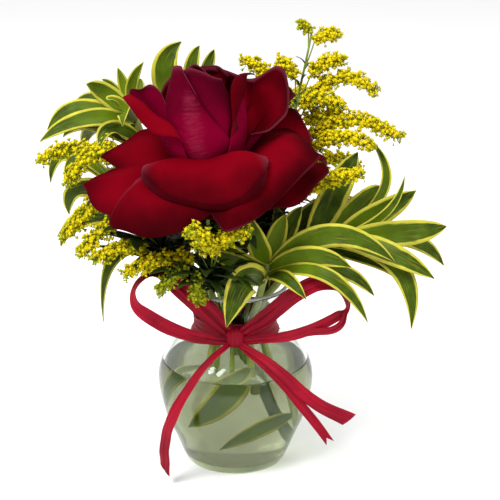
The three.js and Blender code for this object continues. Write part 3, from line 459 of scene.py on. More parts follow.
# Ribbon: a band round the neck, a knot in front, two loops and two tails of flat strip.
# Each station: point, width, the way the strip's face looks.
STRIPS = [
    # left loop, out along the top and back below
    [
        [[-2, -26, 82], 5, "front"], [[-14, -28, 97], 12, "front"], [[-30, -30, 113], 11, "frontUp"],
        [[-43, -33, 120], 7, "up"], [[-52, -35, 113], 7, "left"], [[-50, -36, 102], 7, "frontLeft"],
        [[-36, -36, 92], 8, "front"], [[-18, -33, 84], 6, "front"], [[-2, -27, 80], 4, "front"],
    ],
    # right loop
    [
        [[2, -26, 82], 5, "front"], [[16, -29, 94], 9, "front"], [[31, -32, 108], 9, "front"],
        [[43, -34, 115], 9, "frontUp"], [[54, -37, 114], 9, "rightUp"], [[59, -39, 105], 9, "right"],
        [[53, -38, 98], 5.4, "frontRight"], [[34, -36, 88], 6, "front"], [[16, -31, 83], 5, "front"],
        [[2, -27, 80], 4, "front"],
    ],
    # the strand that parts from it below
    [
        [[58.5, -38.5, 103], 4, "right"], [[56, -41, 96], 4.5, "frontRight"],
        [[50, -40, 91.5], 4, "front"], [[40, -37.5, 89], 4, "front"], [[28, -34.5, 86.5], 4, "front"],
    ],
    # left tail
    [
        [[-2, -27, 79], 3, "front"], [[-14, -40, 73], 4, "frontLeft"], [[-29, -46, 53], 6, "frontLeft"],
        [[-37, -42, 30], 6.5, "frontLeft"], [[-38, -38, 9], 6.5, "frontLeft"],
    ],
    # right tail and the strand that parts from it
    [
        [[2, -27, 79], 3, "front"], [[21, -41, 71], 5, "front"], [[42, -48, 54], 7, "front"],
        [[60, -53, 46], 8.5, "front"],
    ],
    [
        [[2, -26, 78], 3, "front"], [[19, -38, 67], 4, "front"], [[36, -46, 50], 5, "front"],
        [[50, -50, 32], 5, "frontRight"],
    ],
]
# How far a strip's free end is drawn out at its first corner, its middle and its last corner.
# A loop has no free end.
CUTS = [None, None, (0, 0, 0), (2.5, 0, -2.5), (1.5, 0, -2), (1.5, -2.5, 0.5)]
# Creases across a strip: how often and how much of each of two waves, how deep they are as a
# share of half its width far from the knot and how much deeper at it, and how soon that fades
CREASES = {"waves": [6.6, 13.5], "parts": [0.62, 0.38], "far": 0.07, "near": 0.36, "fade": 13}
# The knot: its middle, and its half lengths along X, Y and Z, in millimetres
KNOT = {"centre": [0, -26.2, 81.5], "radii": [5.2, 3.8, 5.4]}
BAND = {"heights": [76.8, 79, 82, 85, 87.2], "slack": 0.45}
# Where the camera stands: degrees above level, and metres
CAMERA = {"elevation": 19, "distance": 0.85, "target": (0.0081, 0, 0.122), "view_width": 0.27}
# Square lamps that look at the bouquet's middle: place and side in metres, and watts
LAMPS = {
    "key": [(-0.5, -0.6, 1.0), 0.4, 13],
    "fill": [(0.8, -0.6, 0.6), 0.5, 2],
    "top": [(0.05, 0.15, 1.15), 0.7, 5],
}
LIT_POINT = (0, 0, 0.12)


# Curves and grids


def unit(v):
    """Vectors shortened or drawn out to length one."""
    return v / np.maximum(np.linalg.norm(v, axis=-1, keepdims=True), 1e-9)


def arrays(points):
    """The points of a table, each as an array."""
    return [np.array(p, float) for p in points]


def stacked(*coordinates):
    """Coordinates of any shapes, spread over one grid and put together as its points."""
    return np.stack(np.broadcast_arrays(*coordinates), -1)


def once_round(count):
    """The angles of count points once round a circle, clockwise."""
    return -np.linspace(0, 2 * math.pi, count, endpoint=False)


def normals_of(points):
    """The way that a grid of points faces: rows x columns."""
    return unit(np.cross(np.gradient(points, axis=0), np.gradient(points, axis=1)))


def ease(low, high, x):
    """A smooth step: 0 up to low, 1 from high on, and level at both."""
    t = np.clip((x - low) / (high - low), 0, 1)
    return t * t * (3 - 2 * t)


def bow(start, middle, end, t):
    """A parabola: start at t 0, middle at t one half and end at t 1."""
    control = 2 * middle - (start + end) / 2
    return (1 - t) ** 2 * start + 2 * t * (1 - t) * control + t**2 * end


def spline(points, places, open_ends=True):
    """A smooth curve through points, at places from 0 to 1 along its parameter.

    Each span is the cubic whose slope at a point is half the chord between its neighbours.
    """
    p = np.asarray(points, float)
    first, last = (2 * p[0] - p[1], 2 * p[-1] - p[-2]) if open_ends else (p[0], p[-1])
    p = np.vstack([first, p, last])
    x = np.clip(places, 0, 1) * (len(p) - 3)
    i = np.minimum(x.astype(int), len(p) - 4)
    t = (x - i)[:, None]
    a, b, c, d = p[i], p[i + 1], p[i + 2], p[i + 3]
    square = a - 2.5 * b + 2 * c - d / 2
    cube = 1.5 * (b - c) + (d - a) / 2
    return b + (c - a) / 2 * t + square * t**2 + cube * t**3


def steps_of(line):
    """The distances from each point of a line to the next."""
    return np.linalg.norm(np.diff(line, axis=0), axis=1)


def run_of(line):
    """How far along a line each of its points is."""
    return np.concatenate([[0], np.cumsum(steps_of(line))])


def length_of(line):
    """How long a line is from its first point to its last."""
    return float(steps_of(line).sum())


def at_shares(line, shares):
    """The points of a line at shares of its length."""
    run = run_of(line)
    where = np.asarray(shares) * run[-1]
    return np.stack([np.interp(where, run, line[:, k]) for k in range(line.shape[1])], -1)


def curve_of(points, count):
    """The smooth curve through points, as count points evenly spaced along its length."""
    return at_shares(spline(points, np.linspace(0, 1, 400)), np.linspace(0, 1, count))


def along_and_across(line):
    """The direction of a line at each point, and two more that are square to it. The first of
    them is also square to the axis along which the line's ends are least apart."""
    along = unit(np.gradient(line, axis=0))
    least = np.eye(3)[np.argmin(np.abs(line[-1] - line[0]))]
    side = unit(np.cross(along, least))
    return along, side, np.cross(along, side)


def swept(line, side, normal, across, rise):
    """A grid on a line: each of its points moved across along side, and by rise along normal."""
    return line[:, None] + side[:, None] * across[..., None] + normal[:, None] * rise[..., None]


def wander(points, size, reach, seed):
    """A smooth drift of points in space: a sum of sine waves of about the given size, in
    random directions, that moves each point by up to about reach."""
    draw = np.random.default_rng(seed)
    moved = np.zeros_like(points)
    for _ in range(6):
        way = unit(draw.normal(size=3)) * 2 * math.pi / (size * draw.uniform(0.7, 1.5))
        push = unit(draw.normal(size=3)) * reach * 0.45
        moved += np.sin(points @ way + draw.uniform(0, 2 * math.pi))[..., None] * push
    return moved


def grid_faces(rows, columns, wrap_rows=False, wrap_columns=False):
    """Corner numbers of a grid's quads, which face along rows x columns."""
    i = np.arange(rows if wrap_rows else rows - 1)[:, None]
    j = np.arange(columns if wrap_columns else columns - 1)[None, :]
    down, over = (i + 1) % rows, (j + 1) % columns
    quads = [i * columns + j, down * columns + j, down * columns + over, i * columns + over]
    return np.stack(np.broadcast_arrays(*quads), -1).reshape(-1, 4)


class Surfaces:
    """Grids of points, in millimetres, gathered into one mesh.

    Every point has a place on its surface for patterns, in centimetres across and along, and
    one number for each of the names that the gathering was made with.
    """

    def __init__(self, *names):
        self.points, self.faces, self.places, self.finishes = [], [], [], []
        self.values = {name: [] for name in names}
        self.count = 0

    def add(self, points, faces, place=None, finish=0, **values):
        """Adds points of any shape (..., 3) and the faces on them, as corner numbers."""
        flat = points.reshape(-1, 3)
        faces = faces if isinstance(faces, list) else [(faces, finish)]
        for corners, kind in faces:
            self.faces.append(corners + self.count)
            self.finishes.append(np.broadcast_to(kind, len(corners)))
        place = np.zeros(points.shape[:-1] + (2,)) if place is None else place
        self.points.append(flat)
        self.places.append(place.reshape(-1, 2))
        for name, held in self.values.items():
            held.append(np.broadcast_to(values[name], points.shape[:-1]).reshape(-1))
        self.count += len(flat)

    def sheet(self, points, thickness, place, finish=0, back=None, **values):
        """A closed sheet: the grid moved half its thickness each way along its normal, rows x
        columns, and a strip round the border that joins the two. back is the finish of the
        under face, if it has its own. A value that is a pair has one number for the upper face
        and one for the under face."""
        back = finish if back is None else back
        rows, columns = points.shape[:2]
        half = normals_of(points) * thickness / 2
        both = np.stack([points + half, points - half])
        number = np.arange(rows * columns).reshape(rows, columns)
        border = [number[0, :-1], number[:-1, -1], number[-1, :0:-1], number[:0:-1, 0]]
        a = np.concatenate(border)
        b = np.roll(a, -1)
        under = rows * columns
        upper = grid_faces(rows, columns)
        lower = upper[:, ::-1] + under
        rim = np.stack([a, b, b + under, a + under], 1)
        spread = {
            name: np.stack([np.broadcast_to(v, (rows, columns)) for v in value])
            if isinstance(value, tuple)
            else np.broadcast_to(value, (2, rows, columns))
            for name, value in values.items()
        }
        faces = [(upper, finish), (lower, back), (rim, back)]
        self.add(both, faces, np.stack([place, place]), **spread)

    def tube(self, line, radius, sides=8, **values):
        """Rings about a line, joined up and closed by a point at each end."""
        _, side, over = along_and_across(line)
        turn = once_round(sides)
        radius = np.broadcast_to(radius, len(line))[:, None, None]
        ring = side[:, None] * np.cos(turn)[:, None] + over[:, None] * np.sin(turn)[:, None]
        self.capped(line[:, None] + ring * radius, line[0], line[-1], **values)

    def capped(self, rings, first, last, place=None, finish=0, **values):
        """Rings of points, clockwise about the way that they follow each other, closed round
        and closed at both ends by a fan to a point. finish is one number, or one for each band
        between two rings."""
        rows, sides = rings.shape[:2]
        bands = np.broadcast_to(finish, rows - 1)
        faces = grid_faces(rows, sides, wrap_columns=True)
        ring = np.arange(sides)
        after = (ring + 1) % sides
        ends = rows * sides
        top = (rows - 1) * sides
        opening = np.stack([np.full(sides, ends), ring, after], 1)
        closing = np.stack([np.full(sides, ends + 1), top + after, top + ring], 1)
        points = np.vstack([rings.reshape(-1, 3), first, last])
        if place is not None:
            place = np.vstack([place.reshape(-1, 2), place[0, 0], place[-1, 0]])
        for name, value in values.items():
            if np.ndim(value):
                value = np.broadcast_to(value, (rows, sides)).reshape(-1)
                values[name] = np.concatenate([value, value[:1], value[-1:]])
        faces = [(faces, np.repeat(bands, sides)), (opening, bands[0]), (closing, bands[-1])]
        self.add(points, faces, place, **values)

    def lathe(self, profile, sides, moved=lambda points: points, finish=0):
        """A profile of (radius, height) turned about Z, and then moved. It starts and ends on
        the axis, and goes outwards, up, in and down again, so that its faces look out."""
        profile = np.asarray(profile, float)
        turn = once_round(sides)
        radius, height = profile[1:-1, 0, None], profile[1:-1, 1, None]
        rings = stacked(radius * np.cos(turn), radius * np.sin(turn), height)
        first, last = np.array([[0, 0, profile[0, 1]], [0, 0, profile[-1, 1]]])
        self.capped(moved(rings), moved(first), moved(last), finish=finish)

    def to_piece(self, name, materials, nodes):
        """Makes the mesh and its object, which rides on the model and stands for its nodes."""
        mesh = bpy.data.meshes.new(name)
        points = np.vstack(self.points) * MM
        corners = np.concatenate([f.reshape(-1) for f in self.faces])
        sizes = np.concatenate([np.full(len(f), f.shape[1]) for f in self.faces])
        mesh.vertices.add(len(points))
        mesh.vertices.foreach_set("co", points.astype(np.float32).reshape(-1))
        mesh.loops.add(len(corners))
        mesh.loops.foreach_set("vertex_index", corners.astype(np.int32))
        mesh.polygons.add(len(sizes))
        starts = np.concatenate([[0], np.cumsum(sizes)[:-1]])
        mesh.polygons.foreach_set("loop_start", starts.astype(np.int32))
        kinds = np.concatenate(self.finishes)
        mesh.polygons.foreach_set("material_index", kinds.astype(np.int32))
        mesh.update(calc_edges=True)
        layer = mesh.uv_layers.new(name="place")
        layer.data.foreach_set("uv", np.vstack(self.places)[corners].reshape(-1))
        for key, held in self.values.items():
            attribute = mesh.attributes.new(key, "FLOAT", "POINT")
            attribute.data.foreach_set("value", np.concatenate(held).astype(np.float32))
        mesh.shade_smooth()
        for material in materials:
            mesh.materials.append(material)
        piece = bpy.data.objects.new(name, mesh)
        bpy.context.scene.collection.objects.link(piece)
        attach(piece, "root")
        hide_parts(*nodes)
        return piece


# Node materials


class Finish:
    """A node material and short words for wiring it."""

    def __init__(self, name, **sockets):
        self.material = bpy.data.materials.new(name)
        self.material.use_nodes = True
        self.tree = self.material.node_tree
        self.tree.nodes.clear()
        self.output = self.tree.nodes.new("ShaderNodeOutputMaterial")
        self.shader = self.node("ShaderNodeBsdfPrincipled")
        self.tree.links.new(self.shader.outputs[0], self.output.inputs[0])
        self.set(**sockets)

    def node(self, kind, inputs=None, **settings):
        """A new node with its settings made and its inputs fed."""
        made = self.tree.nodes.new(kind)
        for key, value in settings.items():
            setattr(made, key, value)
        for key, value in (inputs or {}).items():
            self.feed(made.inputs[key], value)
        return made

    def feed(self, socket, value):
        """Links a socket to another one, or gives it a plain value."""
        if isinstance(value, bpy.types.NodeSocket):
            self.tree.links.new(value, socket)
        else:
            socket.default_value = value

    def set(self, **sockets):
        """Sets the shader's sockets, named with _ for a space and in small letters."""
        by_name = {s.name.lower().replace(" ", "_"): s for s in self.shader.inputs}
        for key, value in sockets.items():
            self.feed(by_name[key], value)

    def value(self, name):
        """One of the numbers that the mesh holds for each point."""
        return self.node("ShaderNodeAttribute", attribute_name=name).outputs["Fac"]

    def place(self, scale=(1, 1, 1)):
        """The surface's own place, stretched."""
        uv = self.node("ShaderNodeUVMap", uv_map="place").outputs[0]
        return self.node("ShaderNodeMapping", {"Vector": uv, "Scale": scale}).outputs[0]

    def space(self, scale=(1, 1, 1)):
        """The place in the object, in metres, stretched."""
        here = self.node("ShaderNodeTexCoord").outputs["Object"]
        return self.node("ShaderNodeMapping", {"Vector": here, "Scale": scale}).outputs[0]

    def noise(self, vector, scale, detail=3.0, roughness=0.5):
        """Soft cloudy noise from 0 to 1 at a place."""
        inputs = {"Vector": vector, "Scale": scale, "Detail": detail, "Roughness": roughness}
        return self.node("ShaderNodeTexNoise", inputs).outputs["Fac"]

    def math(self, operation, *values):
        """A sum, product or other operation on values."""
        inputs = dict(enumerate(values))
        return self.node("ShaderNodeMath", inputs, operation=operation).outputs[0]

    def spread(self, value, low, high, to_low=0.0, to_high=1.0):
        """value from low..high onto to_low..to_high, smoothly."""
        inputs = {0: value, 1: low, 2: high, 3: to_low, 4: to_high}
        return self.node(
            "ShaderNodeMapRange", inputs, interpolation_type="SMOOTHSTEP"
        ).outputs[0]

    def blend(self, share, first, second):
        """A colour that share takes from the first one to the second."""
        inputs = {0: share, 6: first, 7: second}
        for key in (6, 7):
            if not isinstance(inputs[key], bpy.types.NodeSocket):
                inputs[key] = (*inputs[key][:3], 1)
        return self.node("ShaderNodeMix", inputs, data_type="RGBA").outputs[2]

    def bump(self, height, depth, strength=1.0):
        """Raises the surface by height, whose full range stands for depth in metres."""
        inputs = {"Height": height, "Distance": depth, "Strength": strength}
        normal = self.node("ShaderNodeBump", inputs).outputs[0]
        self.set(normal=normal)


def shaded(colour, share):
    """A colour made darker, or lighter where share is over 1."""
    return [c * share for c in colour]


def clear_finish(name, tint, shadow, ior, clear, roughness=0.0):
    """Stuff that bends light, as clear as the share clear, and lets lamps through in the tint
    of its shadow."""
    finish = Finish(name, base_color=(*tint, 1), roughness=roughness, ior=ior)
    finish.set(transmission_weight=clear)
    lamp = finish.node("ShaderNodeLightPath").outputs["Is Shadow Ray"]
    through = finish.node("ShaderNodeBsdfTransparent", {"Color": (*shadow, 1)})
    mixed = finish.node(
        "ShaderNodeMixShader", {0: lamp, 1: finish.shader.outputs[0], 2: through.outputs[0]}
    )
    finish.tree.links.new(mixed.outputs[0], finish.output.inputs[0])
    return finish


def petal_finish(name, deep, lit, frost, ripple_highlight=None):
    """Velvety petal skin with fine veins that fan out along it and random clouds of tone. Painted shade
    darkens it towards its seat and towards its rim, a painted sheen pales its rolled margin, and a
    painted highlight pales the ripples on the back of the bud's front petal."""
    finish = Finish(name, roughness=0.8, specular_ior_level=0.015)
    finish.set(sheen_weight=0.05, sheen_roughness=0.3, sheen_tint=(1, 0.04, 0.1, 1))
    reach = finish.value("reach")
    veins = finish.noise(finish.place((9, 0.5, 1)), 2.2, 4.0, 0.6)
    clouds = finish.noise(finish.space((1, 1, 1)), 45.0, 2.0)
    # Painted shade: darker near the seat and lighter out to the crest, plus clouds of tone at random
    tone = finish.math("MULTIPLY_ADD", clouds, 1.1, finish.spread(reach, 0.05, 0.42))
    tone = finish.math("MULTIPLY_ADD", veins, 0.3, tone)
    # Painted shade: darker again towards the rim
    tone = finish.math("MULTIPLY_ADD", finish.spread(reach, 0.4, 0.8), -1.0, tone)
    colour = finish.blend(finish.spread(tone, 0.5, 1.75), deep, lit)
    heights = finish.math("MULTIPLY", veins, 0.4)
    if ripple_highlight:
        waves = finish.noise(finish.place((0.9, 4.2, 1)), 1.2, 5.0, 0.75)
        waves = finish.math("MULTIPLY", waves, finish.value("ripple"))
        # Painted highlight: pale pink on the ripples' crests
        pale = finish.spread(waves, 0.28, 0.66)
        colour = finish.blend(finish.math("MULTIPLY", pale, 0.45), colour, ripple_highlight)
        heights = finish.math("MULTIPLY_ADD", waves, 1.8, heights)
    # Painted sheen: pale pink blended onto the rolled margin
    colour = finish.blend(finish.math("MULTIPLY", finish.value("frost"), 0.7), colour, frost)
    finish.set(base_color=colour)
    finish.bump(heights, 0.0006, 0.7)
    return finish


def leaf_finish(name, green, young_and_lit, margin, under):
    """A striped blade: green along the middle with pale hairlines, and margins of yellow whose
    inner edge wavers. Heart leaves are yellower, and the underside is greyer. Blades under water
    are lightened towards the heart leaves' colour as painted light."""
    finish = Finish(name, roughness=0.42, specular_ior_level=0.08)
    across = finish.math("ABSOLUTE", finish.value("across"))
    lines = finish.noise(finish.place((9, 0.35, 1)), 1.6, 3.0, 0.6)
    waver = finish.noise(finish.place((0.5, 0.8, 1)), 1.2, 2.0)
    mottle = finish.noise(finish.place((1, 1, 1)), 0.9, 3.0)
    edge = finish.math("MULTIPLY_ADD", waver, 0.24, finish.math("ADD", across, -0.12))
    edge = finish.math("MULTIPLY_ADD", lines, 0.2, finish.math("ADD", edge, -0.1))
    dark = finish.blend(finish.spread(mottle, 0.35, 0.65), shaded(green, 0.45), green)
    # Young colour, and painted light on the blades under water
    middle = finish.blend(finish.value("youth"), dark, young_and_lit)
    hair = [(m + 3 * g) / 4 for m, g in zip(margin, green)]
    middle = finish.blend(finish.spread(lines, 0.52, 0.72), middle, hair)
    pale = finish.blend(finish.spread(mottle, 0.25, 0.8), margin, shaded(margin, 1.4))
    colour = finish.blend(finish.spread(edge, 0.68, 0.79), middle, pale)
    below = finish.math("MULTIPLY_ADD", finish.value("side"), -0.35, 0.35)
    finish.set(base_color=finish.blend(below, colour, under))
    finish.bump(lines, 0.0005, 0.5)
    return finish


def stalk_finish(name, colour, shade=0.5, gloss=0.35):
    """Green stem skin with lengthwise ribs and darker patches at random, which keep the share shade of
    its colour.
    """
    finish = Finish(name, roughness=0.5, specular_ior_level=gloss)
    patches = finish.noise(finish.space((1, 1, 0.4)), 90.0, 3.0)
    ribs = finish.noise(finish.space((1, 1, 0.05)), 900.0, 2.0)
    dark = shaded(colour, shade)
    finish.set(base_color=finish.blend(finish.spread(patches, 0.3, 0.7), dark, colour))
    finish.bump(ribs, 0.0003, 0.6)
    return finish


def floret_finish(name, yellow, amber, green):
    """Goldenrod heads: a green cup that turns yellow along the rays, with amber discs."""
    finish = Finish(name, roughness=0.8, specular_ior_level=0.1)
    part, tone = finish.value("part"), finish.value("tone")
    ripe = finish.math("MULTIPLY", finish.spread(tone, 0.78, 1.0), 0.7)
    rays = finish.blend(ripe, yellow, amber)
    bright = finish.blend(finish.spread(part, 0.2, 0.62), green, rays)
    disc = finish.math("MULTIPLY", finish.spread(part, 0.86, 1.0), 0.3)
    finish.set(base_color=finish.blend(disc, bright, amber))
    return finish


def ribbon_finish(name, colour, dark):
    """Crinkled ribbon: long fine creases along the strip, with painted shade in their hollows and
    painted light on their backs, and darker patches at random.
    """
    finish = Finish(name, roughness=0.5, specular_ior_level=0.1)
    finish.set(sheen_weight=0.02, sheen_roughness=0.4, sheen_tint=(1, 0.1, 0.15, 1))
    creases = finish.noise(finish.place((5.5, 0.16, 1)), 2.0, 4.0, 0.6)
    fibres = finish.noise(finish.place((26, 0.5, 1)), 2.0, 2.0)
    patches = finish.noise(finish.place((0.6, 0.5, 1)), 0.8, 2.0)
    # Painted shade and light: the colour follows the creases' bump, darker in the hollows, with patches
    # at random
    tone = finish.math("MULTIPLY_ADD", patches, 0.5, finish.math("MULTIPLY", creases, 0.5))
    finish.set(base_color=finish.blend(finish.spread(tone, 0.3, 0.68), dark, colour))
    heights = finish.math("MULTIPLY_ADD", fibres, 0.25, creases)
    finish.bump(heights, 0.0007, 0.7)
    return finish


# Shapes


def rolled_margin(border, along, normal, rim, roll, flap, rows):
    """Rows that go on from a border: round a circle of radius rim through the angle roll, and
    then straight on for the length of the flap."""
    arc = rim * roll
    gone = np.linspace(0, 1, rows + 1)[1:, None] * (arc + flap)
    phi = np.minimum(gone / rim, roll)[..., None]
    beyond = np.maximum(gone - arc, 0)[..., None]
    rolled = border + rim * (np.sin(phi) * along - (1 - np.cos(phi)) * normal)
    return rolled + beyond * (np.cos(phi) * along - np.sin(phi) * normal)


def petal_grid(petal, seed, rows=20, rim_rows=9, columns=45):
    """A petal as rows from its seat to its rim by columns across.

    A column is a parabola from the seat, through the crest half way, to the outer edge, and the
    columns near the two corners are cut short by the fourth power of the way to them. Near the
    edge it leaves the parabola for its rolled margin, which waves along sines that grow with
    the cube of the way to it. Returns the points, the share of the way to the rim, and how
    much painted sheen pales each point.
    """
    u = np.linspace(0, 1, columns)
    end = spline(petal["edge"], u)
    middle = spline(petal["crest"], u)
    flat = unit((end - SEAT) * [1, 1, 0])
    root = flat * SEAT_RADIUS + SEAT - [0, 0, SEAT_DEPTH]

    def surface(shares):
        return bow(root, middle, end, shares[..., None])

    def across_of(values):
        return np.interp(u, [0, 0.5, 1], values)

    roll = np.radians(across_of(petal["turns"]))
    ahead = petal["rim"] * np.sin(np.minimum(roll, math.pi / 2))
    stop = 1 - petal.get("round", 0) * (2 * u - 1) ** 4
    pace = np.linalg.norm(surface(stop) - surface(stop - 0.02), axis=1) / 0.02
    start = stop - ahead / pace
    body = surface(np.linspace(0, 1, rows)[:, None] * start)
    along = unit(surface(start) - surface(start - 0.01))
    normal = unit(np.cross(along, np.gradient(body[-1], axis=0)))
    flap = across_of(petal.get("flap", [0, 0, 0]))
    margin = rolled_margin(body[-1], along, normal, petal["rim"], roll, flap, rim_rows)
    points = np.concatenate([body, margin])
    share = np.linspace(0, 1, len(points))[:, None] * np.ones(columns)
    draw = np.random.default_rng(seed)
    beats, phases = draw.uniform(6, 17, 2), draw.uniform(0, 6.3, 2)
    long, short = MARGIN_WAVES
    wave = long * np.sin(u * beats[0] + phases[0]) + short * np.sin(u * beats[1] * 2 + phases[1])
    face = normals_of(points)
    points = points + face * (wave * share**3)[..., None]
    points += wander(points, *PETAL_DRIFT, SEED) * ease(0.1, 0.6, share)[..., None]
    corner = 0.5 + 0.5 * (2 * u - 1) ** 5
    # Painted sheen: how pale the rolled margin is, from the table's three places
    frost = np.interp(corner, [0, 0.5, 1], petal["frost"]) * ease(0.7, 0.95, share)
    for bend, pale, away in zip(petal.get("sides", ()), petal["frost"][::2], (u, 1 - u)):
        near = ease(0.18, 0, away) * ease(0.3, 0.5, share)
        points = points - face * (bend * near)[..., None]
        frost = np.maximum(frost, pale * near)
    return points, share, frost


def bud_radius(share):
    """Radius of the bud at a share of its height: part of a sine's arch."""
    return BUD_RADIUS * np.sin(math.pi * (0.18 + 0.74 * share)) ** 0.9


def bud_grid(start, stop, slant, height, tip, inset, rows=30, columns=45):
    """A bud petal: an arc of the bud's wall that leans with height. It falls away from its tip
    as a parabola to both sides, its last margin stands off, and its top turns a little out."""
    a = np.linspace(0, 1, columns)
    share = np.linspace(0, 1, rows)[:, None] * np.ones(columns)
    away = np.where(a < tip, (tip - a) / tip, (a - tip) / (1 - tip))
    s = share * (1 - 0.2 * away**2)
    turn = np.radians(start + (stop - start) * a + slant * (0.5 - s))
    radius = bud_radius(s) * inset - 0.6 + 2.2 * a**1.5 * inset
    radius = radius + 1.4 * ease(0.86, 1.05, share) ** 2 + 0.8 * ease(0.86, 1, a) * share
    points = np.stack([np.cos(turn) * radius, np.sin(turn) * radius, s * height], -1)
    return points, turn, share


def leant(points):
    """Points about an upright axis, leant over to the bud's axis and moved to the seat."""
    turn = Vector((0, 0, 1)).rotation_difference(Vector(BUD_AXIS)).to_matrix()
    return points @ np.array(turn).T + SEAT


def physical_place(points):
    """Distances over a grid in centimetres: across from the middle column, and along."""
    across = np.linalg.norm(np.diff(points, axis=1), axis=-1)
    along = np.linalg.norm(np.diff(points, axis=0), axis=-1)
    x = np.pad(np.cumsum(across, axis=1), ((0, 0), (1, 0)))
    x -= x[:, points.shape[1] // 2, None]
    y = np.pad(np.cumsum(along, axis=0), ((1, 0), (0, 0)))
    return np.stack([x, y], -1) / 10


def blade_grid(root, middle, tip, width, face, twist, seed, rows=30, columns=9):
    """A blade as rows from root to tip by columns across.

    The middle line is a parabola. Half the width at a share s of it grows from the root as a
    parabola and is drawn out to the tip as one less a power of s. The edges rise in a channel,
    and their heights waver a little.
    """
    s = np.linspace(0, 1, rows)[:, None]
    line = bow(root, *arrays([middle, tip]), s)
    along = unit(np.gradient(line, axis=0))
    side = unit(np.cross(along, FACES[face] if isinstance(face, str) else face))
    turn = np.radians(twist) * (s - 0.5)
    side = side * np.cos(turn) + np.cross(along, side) * np.sin(turn)
    normal = np.cross(side, along)
    grown = 1 - (1 - BLADE["root"]) * (1 - np.minimum(1, s / BLADE["widest"])) ** 2
    half = np.maximum(BLADE["point"], grown * (1 - s ** BLADE["pointed"])) * width / 2
    u = np.linspace(-1, 1, columns)
    draw = np.random.default_rng(seed)
    beat, phase = draw.uniform(7, 13), draw.uniform(0, 6.3, 2)
    waver = BLADE["waver"] * np.sin(s * beat + np.where(u < 0, *phase)) * np.abs(u) ** 2
    rise = half * (BLADE["channel"] * (np.sqrt(u**2 + 0.02) - 0.14) + waver)
    place = stacked(u * half / 10, s * length_of(line) / 10) + draw.uniform(0, 40, 2)
    return swept(line, side, normal, u * half, rise), place, u


def head_shape(rays=5):
    """A flower head, one unit across: a point at its foot, a cup, a star whose every second
    corner is a ray's tip, a ring round the disc, and the disc's raised middle. Returns its
    points, its triangles and how far up the head each point is: from 0 at the cup's foot, over
    0.78 on the rays, to 1 at the disc's middle."""
    turn = np.arange(rays) * 2 * math.pi / rays

    def ring(radius, height, angles):
        radius, height = (np.broadcast_to(v, angles.shape) for v in (radius, height))
        return np.stack([np.cos(angles) * radius, np.sin(angles) * radius, height], -1)

    starred = np.arange(2 * rays) * math.pi / rays
    out = np.arange(2 * rays) % 2 == 0
    star = ring(np.where(out, 0.5, 0.24), np.where(out, 0.74, 0.6), starred)
    parts = [[[0, 0, 0]], ring(0.2, 0.3, turn), star, ring(0.17, 0.7, turn), [[0, 0, 0.8]]]
    ray = np.arange(rays)
    cup, tip, notch = 1 + ray, 1 + rays + 2 * ray, 2 + rays + 2 * ray
    disc, top, foot = 1 + 3 * rays + ray, 0 * ray + 1 + 4 * rays, 0 * ray
    cup_next, tip_next, disc_next = (np.roll(v, -1) for v in (cup, tip, disc))
    triangles = [
        [foot, cup_next, cup], [cup, notch, tip], [cup, cup_next, notch],
        [cup_next, tip_next, notch], [tip, notch, disc], [notch, disc_next, disc],
        [notch, tip_next, disc_next], [disc, disc_next, top],
    ]
    part = np.repeat([0, 0.25, 0.78, 0.9, 1], [1, rays, 2 * rays, rays, 1])
    return np.vstack(parts), np.concatenate([np.stack(t, 1) for t in triangles]), part


def post_shape():
    """A stalklet, one unit across and high: three corners, three smaller ones above, and the
    triangles between them."""
    turn = np.array([0, 2, 4]) * math.pi / 3
    ends = np.stack([np.cos(turn) / 2, np.sin(turn) / 2], 1)
    post = np.pad(np.vstack([ends, ends * 0.7]), ((0, 0), (0, 1)))
    post[3:, 2] = 1
    sides = [[0, 1, 4], [0, 4, 3], [1, 2, 5], [1, 5, 4], [2, 0, 3], [2, 3, 5], [0, 2, 1], [3, 4, 5]]
    return post, np.array(sides)


def set_on(shape, feet, ways, spins, widths, heights):
    """Copies of a shape, each standing on a foot, leant to a way, spun and sized."""
    z = unit(ways)
    x = unit(np.cross(z, [0.31, 0.22, 0.93]))
    y = np.cross(z, x)
    turned = x * np.cos(spins)[:, None] + y * np.sin(spins)[:, None]
    across = np.cross(z, turned)
    axes = np.stack([turned * widths[:, None], across * widths[:, None], z * heights[:, None]], 1)
    return feet[:, None] + shape @ axes


def copies(faces, count, points_each):
    """Faces of a shape, repeated for each of its copies."""
    starts = np.arange(count)[:, None, None] * points_each
    return (faces + starts).reshape(-1, faces.shape[1])


# Pieces. Each builder takes the scene's sizes and colours, whether it needs both or not.


def wall_profile(distance, lowest, highest):
    """The vase's outer wall moved by a distance along its normal, between two heights."""
    line = spline(VASE_OUTLINE, np.linspace(0, 1, 110), open_ends=False)
    along = unit(np.gradient(line, axis=0))
    moved = line + np.stack([along[:, 1], -along[:, 0]], 1) * distance
    heights = np.linspace(lowest, highest, 70)
    return np.stack([np.interp(heights, moved[:, 1], moved[:, 0]), heights], 1)


def floor_corner(low, floor):
    """The rounded corner where floor and wall meet, from the axis out to a wall of radius low."""
    rounded = [[low - inward, floor + rise] for inward, rise in CORNER]
    return np.array([[0, floor], *rounded])


